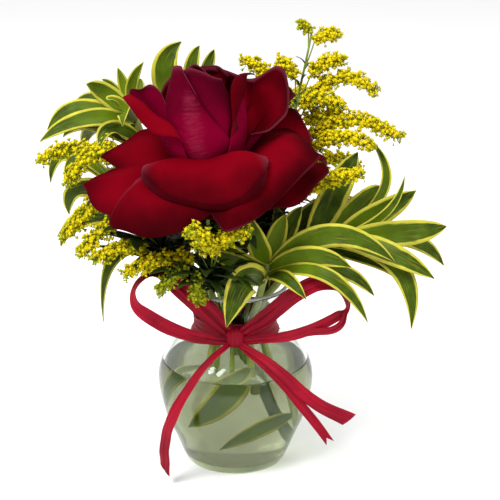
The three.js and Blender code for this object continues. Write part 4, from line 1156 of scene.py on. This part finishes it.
def vase_piece(sizes, colours):
    """A wall of even thickness on a thick floor, turned about Z: a standing ring, a matt hollow
    under the foot, a half-round rim and a rounded corner where wall and floor meet."""
    wall = sizes.wall / MM
    edge = VASE_HEIGHT - wall / 2
    outer = wall_profile(0, WALL_STARTS["outside"], edge)
    inner = wall_profile(-wall, WALL_STARTS["inside"], edge)[::-1]
    turn = np.linspace(0, math.pi, 9)[1:-1]
    centre = (outer[-1, 0] + inner[0, 0]) / 2
    rim = np.stack([centre + wall / 2 * np.cos(turn), edge + wall / 2 * np.sin(turn)], 1)
    corner = floor_corner(inner[-1, 0], VASE_FLOOR)[::-1]
    profile = np.vstack([VASE_FOOT, outer, rim, inner, corner])
    # The finish of each band between two rings: 2 on the foot, 1 on the rim and 0 on the wall
    rings = [len(VASE_FOOT) - 1, len(outer) - 1, len(rim) + 1, len(inner) + len(corner) - 2]
    bands = np.repeat([2, 0, 1, 0], rings)
    body = Surfaces()
    body.lathe(profile, sides=144, finish=bands)
    tint, shadow = colours.glass, colours.glass_shadow
    glass = clear_finish("clear glass", tint, shadow, 1.3, 1)
    # Painted highlight: the rim's glass is partly matt in the glass's pale tint, so that the rim shows
    # as a light line
    rim_highlight = clear_finish("glass rim with painted highlight", tint, shadow, 1.5, 0.55, 0.12)
    base = clear_finish("ground foot", colours.foot, shadow, 1.5, 0, 0.6)
    materials = [f.material for f in (glass, rim_highlight, base)]
    body.to_piece("glass_vase", materials, ["vase"])


def water_piece(sizes, colours):
    """The vase's hollow up to the water's level, with a surface that climbs at the wall by a
    falling exponential of the distance from it."""
    level = sizes.water_level / MM
    wall = sizes.wall / MM - WATER_LAP
    side = wall_profile(-wall, WALL_STARTS["inside"], level + MENISCUS["climb"])
    low, top = side[0, 0], side[-1, 0]
    corner = floor_corner(low, VASE_FLOOR - WATER_LAP)
    inward = np.array([*MENISCUS["rings"], top])
    climbed = MENISCUS["climb"] * np.exp(-inward / MENISCUS["fade"])
    surface = np.stack([top - inward, level + climbed], 1)
    profile = np.vstack([corner, side, surface])
    bands = np.repeat([0, 1], [len(corner) + len(side) - 2, len(surface) - 1])
    body = Surfaces()
    body.lathe(profile, sides=128, finish=bands)
    water = clear_finish("water", colours.water, colours.water_shadow, 1.33, 1)
    # Painted light: the water's top has its own paler skin, partly matt, that brightens it
    skin = clear_finish("water surface", colours.surface, colours.water_shadow, 1.33, 0.86)
    body.to_piece("vase_water", [water.material, skin.material], ["water"])


def bloom_piece(sizes, colours):
    """The wrapped bud and the petals that fold away from it, each a closed sheet that thins
    towards its margin."""
    body = Surfaces("reach", "ripple", "frost")
    thickness = sizes.petal / MM
    for k, petal in enumerate(PETALS.values()):
        points, share, frost = petal_grid(petal, SEED + k)
        place = physical_place(points) + k * 7
        thin = thickness * (1.2 - 0.7 * share[..., None])
        # reach carries the painted shade towards seat and rim, scaled by the petal's lit share
        reach = share * petal.get("lit", 1)
        body.sheet(points, thin, place, back=1, reach=reach, ripple=0, frost=frost)
    for k, row in enumerate(BUD_PETALS):
        points, turn, share = bud_grid(*row)
        points += wander(points, *BUD_DRIFT, SEED + k)
        place = physical_place(points) + k * 5
        # Where the ripples are, for their bump and their painted highlight
        middle = np.exp(-((np.degrees(turn) - RIPPLED["middle"]) / RIPPLED["spread"]) ** 2)
        ripple = middle * ease(0.98, 0.75, share) * (k == 0)
        # Painted sheen along the bud petals' upper margins
        frost = 0.7 * ease(0.955, 1, share)
        thin = thickness * (1.1 - 0.6 * share[..., None])
        values = {"reach": share, "ripple": (ripple * 0, ripple), "frost": frost}
        body.sheet(leant(points), thin, place, back=1, **values)
    face = petal_finish("petal face", colours.petal_mottle_and_shade, colours.petal, colours.frost)
    back = petal_finish(
        "petal back", colours.back_mottle_and_shade, colours.back, colours.frost, colours.back_ripple_highlight
    )
    body.to_piece("rose_petals", [face.material, back.material], ["rose_bloom"])


def sepals(body):
    """Sepals round the hip: each falls away as a parabola, is crowned across, and narrows towards
    its tip by a power of the way along it."""
    s = np.linspace(0, 1, 18)[:, None]
    u = np.linspace(-1, 1, 7)
    half = SEPALS["half_width"] * (1 - 0.93 * s**1.7) * (0.75 + 0.25 * np.cos(s * 5))
    fall = np.array([0, 0, SEPALS["fall"]]) * s**2
    for k in range(SEPALS["count"]):
        turn = (k + 0.5) / SEPALS["count"] * 2 * math.pi
        out = np.array([[math.cos(turn), math.sin(turn), 0]])
        side = out[:, [1, 0, 2]] * [-1, 1, 1]
        line = out * (SEPALS["out"] + SEPALS["reach"] * s) - [0, 0, SEPALS["under"]] - fall
        crown = 0.5 * half * (1 - u**2)
        points = swept(line, side, unit(out + [0, 0, 0.6]), u * half, crown)
        body.sheet(leant(points), SEPALS["thickness"], stacked(u * half / 10, s * 2.5))


def rose_stem_piece(sizes, colours):
    """The stalk with its leaves, dark green with painted shade, the swollen hip and the sepals."""
    body = Surfaces()
    line = curve_of(ROSE_STALK, 60)
    radius = np.linspace(2.5, 2.4, 60) + 0.25 * np.sin(np.linspace(0, 40, 60)) ** 8
    body.tube(line, radius, 14)
    for low, high, count, *leaves in ROSE_LEAVES:
        lance_leaves(body, line, np.linspace(low, high, count), *leaves)
    profile = spline(HIP, np.linspace(0, 1, 24), open_ends=False)
    profile[0, 0] = profile[-1, 0] = 0
    body.lathe(profile, 24, leant)
    sepals(body)
    skin = stalk_finish("rose stem", colours.stem, 0.6)
    leaf = stalk_finish("rose leaf", colours.lance, gloss=0.12)
    body.to_piece("rose_stalk", [skin.material, leaf.material], ["rose_stem"])


def youth_of(share, long, rows):
    """How young a blade looks along its rows, with painted light added. Short blades at the heart
    of a shoot look young, and so do the roots of the upper blades. Blades on the lower half of a
    stem, which stand mostly under water, are lightened towards the same colour as painted light."""
    youth = ease(0.84, 0.95, share) * ease(36, 16, long)
    to_root = np.linspace(1, 0, rows)[:, None]
    # Painted light: 0.55 more for blades on the lower half of the stem, mostly under water
    return np.clip(youth + 0.8 * to_root**2 * (share > 0.9) + 0.55 * (share < 0.5), 0, 1)


def shoot_pieces(sizes, colours):
    """Five leafy shoots: a tapered stem with nodes, and the blades that leave it."""
    leaf = leaf_finish(
        "striped leaf", colours.leaf, colours.leaf_young_and_lit, colours.margin, colours.leaf_under
    )
    bark = stalk_finish("shoot stem", colours.shoot, 0.7)
    for n, (name, shoot) in enumerate(SHOOTS.items()):
        body = Surfaces("across", "side", "youth")
        line = curve_of(shoot["stem"], 80)
        radius = np.linspace(STEM_RADIUS["lower"], STEM_RADIUS["upper"], 80)
        radius = radius + 0.18 * np.abs(np.sin(np.linspace(0, 45, 80))) ** 6
        body.tube(line, radius, 12, finish=1, across=0, side=1, youth=0)
        for k, (share, middle, tip, width, face, twist) in enumerate(shoot["blades"]):
            root = at_shares(line, [share])[0]
            towards = unit(np.array(middle, float) - root)
            root = root + towards * STEM_RADIUS["upper"] / 2
            seed = SEED + 40 * n + k
            points, place, u = blade_grid(root, middle, tip, width, face, twist, seed)
            youth = youth_of(share, np.linalg.norm(np.array(tip) - root), len(points))
            body.sheet(points, sizes.leaf / MM, place, across=u, side=(0, 1), youth=youth)
        body.to_piece(f"{name}_leaves", [leaf.material, bark.material], [name])


def plume_heads(bowed, radius, draw):
    """Places for the heads of a plume, whose axis bows through three points.

    Branchlets stand round the plume's axis, mostly above it, and lean towards its end. Each
    holds three heads, one after another, and they are longer where a sine over share and turn is
    high, which makes side sprigs. Returns where the stalklets start, the heads' feet and ways,
    their widths, heights and ripeness.
    """
    line = bow(*arrays(bowed), np.linspace(0, 1, 80)[:, None])
    nodes = max(5, round(length_of(line) / HEADS["apart"]))
    around, stages = np.radians(HEADS["around"]), HEADS["stages"]
    shape = (nodes, len(around), len(stages))
    branch = shape[:2] + (1,)
    s = ((np.arange(nodes) + 0.5) / nodes)[:, None, None] + draw.normal(0, 0.35 / nodes, branch)
    turn = around[:, None] + draw.normal(0, 0.3, branch)
    sprig = np.maximum(0, np.sin(s * length_of(line) * 0.95 + turn * 2 + draw.uniform(0, 6.3)))
    s, turn, sprig, stage = (np.broadcast_to(v, shape).ravel() for v in (s, turn, sprig, stages))
    s = np.clip(s, 0, 1)
    count = len(s)
    at = at_shares(line, s)
    along = unit(at_shares(np.gradient(line, axis=0), s))
    up = unit(np.array([0, 0, 1]) - along * along[:, 2:] + along[:, :1] * [0, 0, 0.01])
    out = up * np.cos(turn)[:, None] + np.cross(along, up) * np.sin(turn)[:, None]
    taper = 0.45 + 0.55 * np.sin(math.pi * (0.2 + 0.74 * s))
    reach = radius * taper * (0.85 + 0.15 * np.cos(turn)) * (0.85 + 0.55 * sprig)
    reach = reach * draw.uniform(0.85, 1.12, count)
    lean = unit(out + 0.5 * along + draw.normal(0, 0.12, (count, 3)))
    feet = at + lean * (reach * stage)[:, None] + draw.normal(0, 0.4, (count, 3))
    starts = at + lean * (reach * (stage - 0.3))[:, None]
    ways = unit(lean + 0.35 * up + draw.normal(0, 0.35, (count, 3)))
    ripe = 1.08 - 0.45 * ease(0.82, 1.02, s) - 0.3 * (np.cos(turn) < -0.2)
    ripe = np.clip(ripe + draw.normal(0, 0.12, count), 0.35, 1)
    widths = HEADS["width"] * ripe * draw.uniform(0.85, 1.1, count)
    return starts, feet, ways, widths, draw.uniform(*HEADS["heights"], count), ripe


def lance_leaves(body, line, shares, longest, shortest, width, seed, spread=1.0):
    """Narrow leaves that spiral up a stalk by the golden angle, shorter towards its top. Spread
    is how far they lean away from it: those of low spread stand nearly upright."""
    draw = np.random.default_rng(seed)
    spots = at_shares(line, shares)
    ways = unit(at_shares(np.gradient(line, axis=0), shares))
    lengths = np.interp(shares, [shares[0], shares[-1]], [longest, shortest])
    for k, (spot, way, long) in enumerate(zip(spots, ways, lengths)):
        turn = k * GOLDEN_ANGLE + seed
        out = np.array([math.cos(turn), math.sin(turn), 0])
        long = long * draw.uniform(0.8, 1.2)
        lift = 0.4 * (1 - spread)
        middle = spot + out * long * 0.42 * spread + way * long * (lift / 2 + draw.uniform(0.3, 0.5))
        tip = spot + out * long * 0.86 * spread + way * long * (lift + draw.uniform(0.2, 0.6))
        face = out * 0.4 + [0, 0, 1]
        points, place, _ = blade_grid(spot, middle, tip, long * width, face, 0, k, 12, 5)
        body.sheet(points, 0.35, place, finish=1)


def stalk_pieces(sizes, colours):
    """Stalks with a branch for each plume, narrow leaves that spiral up them, and longer ones
    where they leave the vase, all dark green with painted shade."""
    skin = stalk_finish("goldenrod stalk", colours.stalk, 0.55)
    leaf = stalk_finish("goldenrod leaf", colours.lance, gloss=0.12)
    for n, (name, spray) in enumerate(GOLDENROD.items()):
        body = Surfaces()
        line = curve_of(spray["stalk"], 100)
        body.tube(line, np.linspace(STALK_RADIUS["lower"], STALK_RADIUS["upper"], 100), 9)
        for share, *bowed, _ in spray["plumes"]:
            start, middle, end = arrays(bowed)
            root = at_shares(line, [share - FORK])[0]
            half = (root + start) / 2 + [0, 0, -SAG * np.linalg.norm(start - root)]
            stem = bow(root, half, start, np.linspace(0, 1, 12)[:, None])
            axis = bow(start, middle, end, np.linspace(0, 1, 24)[1:, None])
            whole = np.vstack([stem, axis])
            radius = np.linspace(STALK_RADIUS["branch"], STALK_RADIUS["tip"], len(whole))
            body.tube(whole, radius, 6)
        low, high, count = FOLIAGE[name]
        lance_leaves(body, line, np.linspace(low, 0.9, 26), *NARROW_LEAVES, n)
        lance_leaves(body, line, np.linspace(low, high, count), *LONG_LEAVES, n + 5)
        body.to_piece(f"{name}_stems", [skin.material, leaf.material], [f"{name}_stalk"])


def plume_pieces(sizes, colours):
    """The goldenrod's flower heads: thousands of small stars on short stalks."""
    finish = floret_finish("goldenrod head", colours.floret, colours.amber, colours.cup)
    shape, faces, part = head_shape()
    post, post_faces = post_shape()
    for n, (name, spray) in enumerate(GOLDENROD.items()):
        draw = np.random.default_rng(SEED + 10 + n)
        body = Surfaces("part", "tone")
        for k, plume in enumerate(spray["plumes"]):
            _, *bowed, radius = plume
            starts, feet, ways, widths, heights, ripe = plume_heads(bowed, radius, draw)
            opened = UNRIPE.get(name, {}).get(k, 1)
            ripe, widths = ripe * opened, widths * (0.55 + 0.45 * opened)
            core = bow(*arrays(bowed), np.linspace(0.02, 0.97, 24)[:, None])
            stout = np.sin(math.pi * np.linspace(0.12, 0.94, 24)) * draw.normal(1, 0.15, 24)
            body.tube(core, radius * CORE * stout, 8, part=0.22, tone=0.3)
            count = len(feet)
            spins = draw.uniform(0, 6.3, count)
            heads = set_on(shape, feet, ways, spins, widths * sizes.head, heights * sizes.head)
            tone = draw.uniform(0, 1, count)[:, None]
            shown = part * (ripe * RIPENESS[name])[:, None]
            body.add(heads, copies(faces, count, len(shape)), part=shown, tone=tone)
            gaps = feet - starts
            long = np.linalg.norm(gaps, axis=1) + 0.3
            posts = set_on(post, starts, gaps, spins, np.full(count, HEADS["stalklet"]), long)
            body.add(posts, copies(post_faces, count, len(post)), part=0.0, tone=tone)
        nodes = [f"{name}_plume_{k + 1}" for k in range(len(spray["plumes"]))]
        body.to_piece(f"{name}_heads", [finish.material], nodes)


def strip_grid(stations, cut, seed, rows=110, columns=17, smoothed=6):
    """A ribbon strip: its middle line is smooth through the stations, its width and the way
    that it faces go evenly from one to the next, and creases run along it as sine waves across,
    deep near the knot and shallow away from it. The width is evened out over some rows to each
    side, and cut moves the free end's corners."""
    places = np.linspace(0, 1, rows)
    steps = np.arange(len(stations))
    line = spline([p for p, _, _ in stations], places)
    where = places * (len(stations) - 1)
    width = np.interp(where, steps, [w for _, w, _ in stations])
    looks = unit(np.array([FACES[f] for _, _, f in stations], float))
    look = np.stack([np.interp(where, steps, looks[:, k]) for k in range(3)], 1)
    window = np.hanning(2 * smoothed + 1)
    width = np.convolve(np.pad(width, smoothed, mode="edge"), window / window.sum(), "valid")
    along = unit(np.gradient(line, axis=0))
    side = unit(np.cross(along, look))
    normal = np.cross(side, along)
    run = run_of(line)
    free = cut is not None
    fade = CREASES["fade"]
    near = np.exp(-run / fade) + (0 if free else np.exp(-(run[-1] - run) / fade))
    u = np.linspace(-1, 1, columns)
    draw = np.random.default_rng(seed)
    a, b, c = draw.uniform(0, 6.3, 3)
    drift = np.sin(run / 19 + c)[:, None]
    (wide, fine), (most, rest) = CREASES["waves"], CREASES["parts"]
    folds = most * np.sin(u * wide + a + drift) + rest * np.sin(u * fine + b - 1.4 * drift)
    half = width[:, None] / 2
    height = half * (CREASES["far"] + CREASES["near"] * np.minimum(near, 1)[:, None]) * folds
    points = swept(line, side, normal, u * half, height)
    if free:
        ends = ease(0.85, 1, places)[:, None] * np.interp(u, [-1, 0, 1], cut)
        points = points + along[:, None] * ends[..., None]
    points = points + wander(points, *RIBBON_DRIFT, seed)
    return points, stacked(u * half / 10, run[:, None] / 10) + seed * 3


def neck_band(body):
    """The band round the neck: an inner wall just clear of the vase's outline, and an outer one
    whose folds are sine waves of height and turn."""
    outline = wall_profile(0, 70, 92)
    z = np.linspace(BAND["heights"][0], BAND["heights"][-1], 19)
    inner = np.interp(z, outline[:, 1], outline[:, 0]) + BAND["slack"]
    turn = once_round(120)[:, None]
    folds = 0.3 * np.sin(z * 2.1 + 1.5 * np.sin(turn * 2)) + 0.2 * np.sin(z * 4.4 - turn * 3)
    outer = inner + 0.8 + folds * np.sin(math.pi * (z - z[0]) / (z[-1] - z[0]))
    radius = np.concatenate([outer, np.broadcast_to(inner[::-1], (len(turn), len(z)))], 1)
    height = np.concatenate([z, z[::-1]]) + 0.5 * np.sin(turn * 3)
    ring = stacked(radius * np.cos(turn), radius * np.sin(turn), height)
    faces = grid_faces(len(turn), 2 * len(z), True, True)[:, ::-1]
    body.add(ring, faces, stacked(height / 10, -turn * 2.4))


def bow_knot(body):
    """The knot: a rolled cushion whose section is a circle squared by a power, and whose girth
    is nearly even along X and falls to a point at each end."""
    centre, (wide, deep, tall) = np.array(KNOT["centre"]), KNOT["radii"]
    x = np.sin(np.linspace(-0.97, 0.97, 33) * math.pi / 2)[:, None]
    belly = (1 - np.abs(x) ** 3.2) ** 0.5 * (1 + 0.05 * np.sin(x * 17)) * 0.96
    turn = once_round(40)
    out, up = (np.sign(f) * np.abs(f) ** 0.8 for f in (np.cos(turn), np.sin(turn)))
    knot = stacked(x * wide, belly * out * deep, belly * up * tall)
    ends = centre + [[-wide, 0, 0], [wide, 0, 0]]
    body.capped(knot + centre, *ends, place=stacked(x * wide / 10, -turn * 0.5))


def ribbon_piece(sizes, colours):
    """Loops, tails, band and knot as one creased ribbon."""
    body = Surfaces()
    for k, (stations, cut) in enumerate(zip(STRIPS, CUTS)):
        points, place = strip_grid(stations, cut, k + 1)
        body.sheet(points, sizes.ribbon / MM, place)
    neck_band(body)
    bow_knot(body)
    finish = ribbon_finish("crinkled ribbon", colours.ribbon, colours.ribbon_patches_and_shade)
    piece = body.to_piece("ribbon_bow", [finish.material], ["ribbon"])


def stand(name, data, place, way):
    """An object at place, which looks along way."""
    made = bpy.data.objects.new(name, data)
    bpy.context.scene.collection.objects.link(made)
    made.location = place
    made.rotation_mode = "QUATERNION"
    made.rotation_quaternion = way.to_track_quat("-Z", "Y")
    return made


def paper_floor(colours):
    """A wide flat sheet of pale paper."""
    reach = np.linspace(-4, 4, 9)
    points = stacked(reach[:, None], reach, 0 * reach).reshape(-1, 3)
    mesh = bpy.data.meshes.new("floor")
    mesh.from_pydata(points.tolist(), [], grid_faces(9, 9).tolist())
    piece = bpy.data.objects.new("floor", mesh)
    bpy.context.scene.collection.objects.link(piece)
    paper = Finish("floor", base_color=(*colours.floor, 1), roughness=0.9)
    paper.set(specular_ior_level=0.1)
    mesh.materials.append(paper.material)


def soft_backdrop():
    """Plain light from all sides: full from overhead, and dimmed smoothly towards the level."""
    world = bpy.data.worlds.new("studio")
    bpy.context.scene.world = world
    world.use_nodes = True
    backdrop = world.node_tree.nodes["Background"]
    backdrop.inputs["Strength"].default_value = 1
    links, add = world.node_tree.links, world.node_tree.nodes.new
    height = add("ShaderNodeSeparateXYZ")
    links.new(add("ShaderNodeTexCoord").outputs["Generated"], height.inputs[0])
    glow = add("ShaderNodeMapRange")
    glow.interpolation_type = "SMOOTHSTEP"
    limits = {"From Min": 0.05, "From Max": 1, "To Min": 0.72, "To Max": 1}
    for key, value in limits.items():
        glow.inputs[key].default_value = value
    links.new(height.outputs["Z"], glow.inputs[0])
    links.new(glow.outputs[0], backdrop.inputs["Color"])


def stage_pieces(sizes, colours):
    """The floor, the soft studio light and the camera."""
    paper_floor(colours)
    soft_backdrop()
    for name, (place, side, power) in LAMPS.items():
        data = bpy.data.lights.new(name, "AREA")
        data.shape, data.size, data.energy = "SQUARE", side, power
        stand(name, data, place, Vector(LIT_POINT) - Vector(place))
    tilt = math.radians(CAMERA["elevation"])
    back = Vector((0, -math.cos(tilt), math.sin(tilt)))
    lens = bpy.data.cameras.new("camera")
    lens.sensor_width = 36
    lens.lens = 36 * CAMERA["distance"] / CAMERA["view_width"]
    place = Vector(CAMERA["target"]) + back * CAMERA["distance"]
    scene = bpy.context.scene
    scene.camera = stand("camera", lens, place, -back)
    scene.view_settings.view_transform = "Standard"


# Settings


def size(name, text, default, low, high):
    """A length in metres that a user may change."""
    return FloatProperty(
        name=name, description=text, default=default, min=low, max=high, unit="LENGTH", precision=5
    )


def colour(name, text, default):
    """A linear colour that a user may change."""
    return FloatVectorProperty(
        name=name, description=text, default=default, subtype="COLOR", min=0, max=1
    )


class BudVaseSizes(bpy.types.PropertyGroup):
    wall: size("Glass wall", "Thickness of the vase's wall", 0.002, 0.001, 0.004)
    water_level: size("Water level", "Height of the water's surface", 0.0585, 0.02, 0.07)
    petal: size("Petal", "Thickness of a petal", 0.0006, 0.0003, 0.0012)
    leaf: size("Leaf", "Thickness of a striped leaf", 0.0005, 0.0003, 0.001)
    ribbon: size("Ribbon", "Thickness of the ribbon", 0.0003, 0.0002, 0.001)
    head: FloatProperty(
        name="Flower heads", description="Scale of a goldenrod head", default=1, min=0.5, max=1.5
    )


class BudVaseColours(bpy.types.PropertyGroup):
    petal: colour("Petal face", "Lit red of a petal's face", (0.135, 0.0, 0.004))
    # Painted shade: the dark red that a face goes to near its seat and rim, and in its random clouds
    petal_mottle_and_shade: colour("Petal depth", "Deep red of a petal's face near its seat", (0.024, 0.0, 0.001))
    back: colour("Petal back", "Dull crimson of a petal's back", (0.17, 0.0, 0.017))
    # Painted shade: the crimson that a back goes to near its seat and rim, and in its random clouds
    back_mottle_and_shade: colour("Petal back depth", "Crimson near the seat", (0.045, 0.0, 0.005))
    # Painted highlight: the pink on the crests of the bud's ripples
    back_ripple_highlight: colour("Petal back bloom", "Pink on the ripples of the bud", (0.25, 0.02, 0.05))
    # Painted sheen: the pale pink blended onto rolled margins
    frost: colour("Petal frost", "Pale pink of a rolled margin", (0.19, 0.03, 0.05))
    stem: colour("Rose stem", "Green of the rose's stalk", (0.2, 0.33, 0.06))
    leaf: colour("Leaf green", "Middle of a striped leaf", (0.045, 0.08, 0.003))
    # Also the painted light that lightens the blades under water
    leaf_young_and_lit: colour("Heart leaf", "Middle of a young leaf", (0.17, 0.27, 0.008))
    margin: colour("Leaf margin", "Yellow margin of a striped leaf", (0.37, 0.34, 0.035))
    leaf_under: colour("Leaf underside", "Grey green under a leaf", (0.16, 0.2, 0.07))
    shoot: colour("Shoot stem", "Skin of a leafy stem", (0.42, 0.5, 0.12))
    stalk: colour("Goldenrod stalk", "Green of the stalks", (0.28, 0.38, 0.055))
    # Partly painted shade: the leaves' green is darkened to stand for the shade of the dense foliage
    lance: colour("Goldenrod leaf", "Green of the narrow leaves", (0.024, 0.045, 0.005))
    floret: colour("Goldenrod", "Yellow of the flower heads", (0.6, 0.48, 0.004))
    amber: colour("Goldenrod disc", "Amber of the discs", (0.46, 0.36, 0.0))
    cup: colour("Goldenrod cup", "Green under each head", (0.24, 0.28, 0.008))
    ribbon: colour("Ribbon", "Crimson of the ribbon", (0.33, 0.003, 0.018))
    # Painted shade in the creases, and the random darker patches
    ribbon_patches_and_shade: colour("Ribbon creases", "Crimson in the creases", (0.12, 0.001, 0.008))
    glass: colour("Glass", "Tint of the glass", (0.88, 0.91, 0.86))
    foot: colour("Foot", "Ground glass under the foot", (0.62, 0.64, 0.5))
    glass_shadow: colour("Glass shadow", "Light that the glass lets through", (0.86, 0.88, 0.86))
    water: colour("Water", "Tint of the water", (0.3, 0.315, 0.19))
    # Painted light: the paler, partly matt skin that brightens the water's top
    surface: colour("Water surface", "Tint of the water's surface", (0.6, 0.62, 0.46))
    water_shadow: colour("Water shadow", "Light that the water lets through", (0.75, 0.78, 0.68))
    floor: colour("Floor", "Paper that the vase stands on", (0.9, 0.9, 0.9))


def run(build, context):
    """Builds one group of pieces with the scene's sizes and colours."""
    build(context.scene.bud_vase_sizes, context.scene.bud_vase_colours)
    return {"FINISHED"}


class BUDVASE_OT_vase(bpy.types.Operator):
    """Add the glass vase"""

    bl_idname = "bud_vase.vase"
    bl_label = "Glass vase"

    def execute(self, context):
        return run(vase_piece, context)


class BUDVASE_OT_water(bpy.types.Operator):
    """Add the water in the vase"""

    bl_idname = "bud_vase.water"
    bl_label = "Water"

    def execute(self, context):
        return run(water_piece, context)


class BUDVASE_OT_bloom(bpy.types.Operator):
    """Add the rose's bud and petals"""

    bl_idname = "bud_vase.bloom"
    bl_label = "Rose petals"

    def execute(self, context):
        return run(bloom_piece, context)


class BUDVASE_OT_rose_stem(bpy.types.Operator):
    """Add the rose's stalk, hip and sepals"""

    bl_idname = "bud_vase.rose_stem"
    bl_label = "Rose stalk"

    def execute(self, context):
        return run(rose_stem_piece, context)


class BUDVASE_OT_shoots(bpy.types.Operator):
    """Add the striped leafy shoots"""

    bl_idname = "bud_vase.shoots"
    bl_label = "Striped leaves"

    def execute(self, context):
        return run(shoot_pieces, context)


class BUDVASE_OT_stalks(bpy.types.Operator):
    """Add the goldenrod's stalks and narrow leaves"""

    bl_idname = "bud_vase.stalks"
    bl_label = "Goldenrod stalks"

    def execute(self, context):
        return run(stalk_pieces, context)


class BUDVASE_OT_plumes(bpy.types.Operator):
    """Add the goldenrod's flower heads"""

    bl_idname = "bud_vase.plumes"
    bl_label = "Goldenrod heads"

    def execute(self, context):
        return run(plume_pieces, context)


class BUDVASE_OT_ribbon(bpy.types.Operator):
    """Add the ribbon and its bow"""

    bl_idname = "bud_vase.ribbon"
    bl_label = "Ribbon"

    def execute(self, context):
        return run(ribbon_piece, context)


class BUDVASE_OT_stage(bpy.types.Operator):
    """Add the floor, the lamps and the camera"""

    bl_idname = "bud_vase.stage"
    bl_label = "Stage"

    def execute(self, context):
        return run(stage_pieces, context)


OPERATORS = (
    BUDVASE_OT_stage,
    BUDVASE_OT_vase,
    BUDVASE_OT_water,
    BUDVASE_OT_bloom,
    BUDVASE_OT_rose_stem,
    BUDVASE_OT_shoots,
    BUDVASE_OT_stalks,
    BUDVASE_OT_plumes,
    BUDVASE_OT_ribbon,
)


class BUDVASE_PT_panel(bpy.types.Panel):
    """Has a button for each group of pieces, and their sizes and colours"""

    bl_idname = "BUDVASE_PT_panel"
    bl_label = "Rose in a bud vase"
    bl_space_type = "VIEW_3D"
    bl_region_type = "UI"
    bl_category = "Bud vase"

    def draw(self, context):
        for operator in OPERATORS:
            self.layout.operator(operator.bl_idname)
        for group in (context.scene.bud_vase_sizes, context.scene.bud_vase_colours):
            box = self.layout.box()
            for key in group.__annotations__:
                box.prop(group, key)


CLASSES = (BudVaseSizes, BudVaseColours, *OPERATORS, BUDVASE_PT_panel)


def register():
    for item in CLASSES:
        bpy.utils.register_class(item)
    bpy.types.Scene.bud_vase_sizes = PointerProperty(type=BudVaseSizes)
    bpy.types.Scene.bud_vase_colours = PointerProperty(type=BudVaseColours)


def unregister():
    del bpy.types.Scene.bud_vase_colours
    del bpy.types.Scene.bud_vase_sizes
    for item in reversed(CLASSES):
        bpy.utils.unregister_class(item)


def main():
    """Registers the classes and builds every piece."""
    register()
    for operator in OPERATORS:
        group, word = operator.bl_idname.split(".")
        getattr(getattr(bpy.ops, group), word)()
    bpy.context.view_layer.update()


if __name__ == "__main__":
    main()
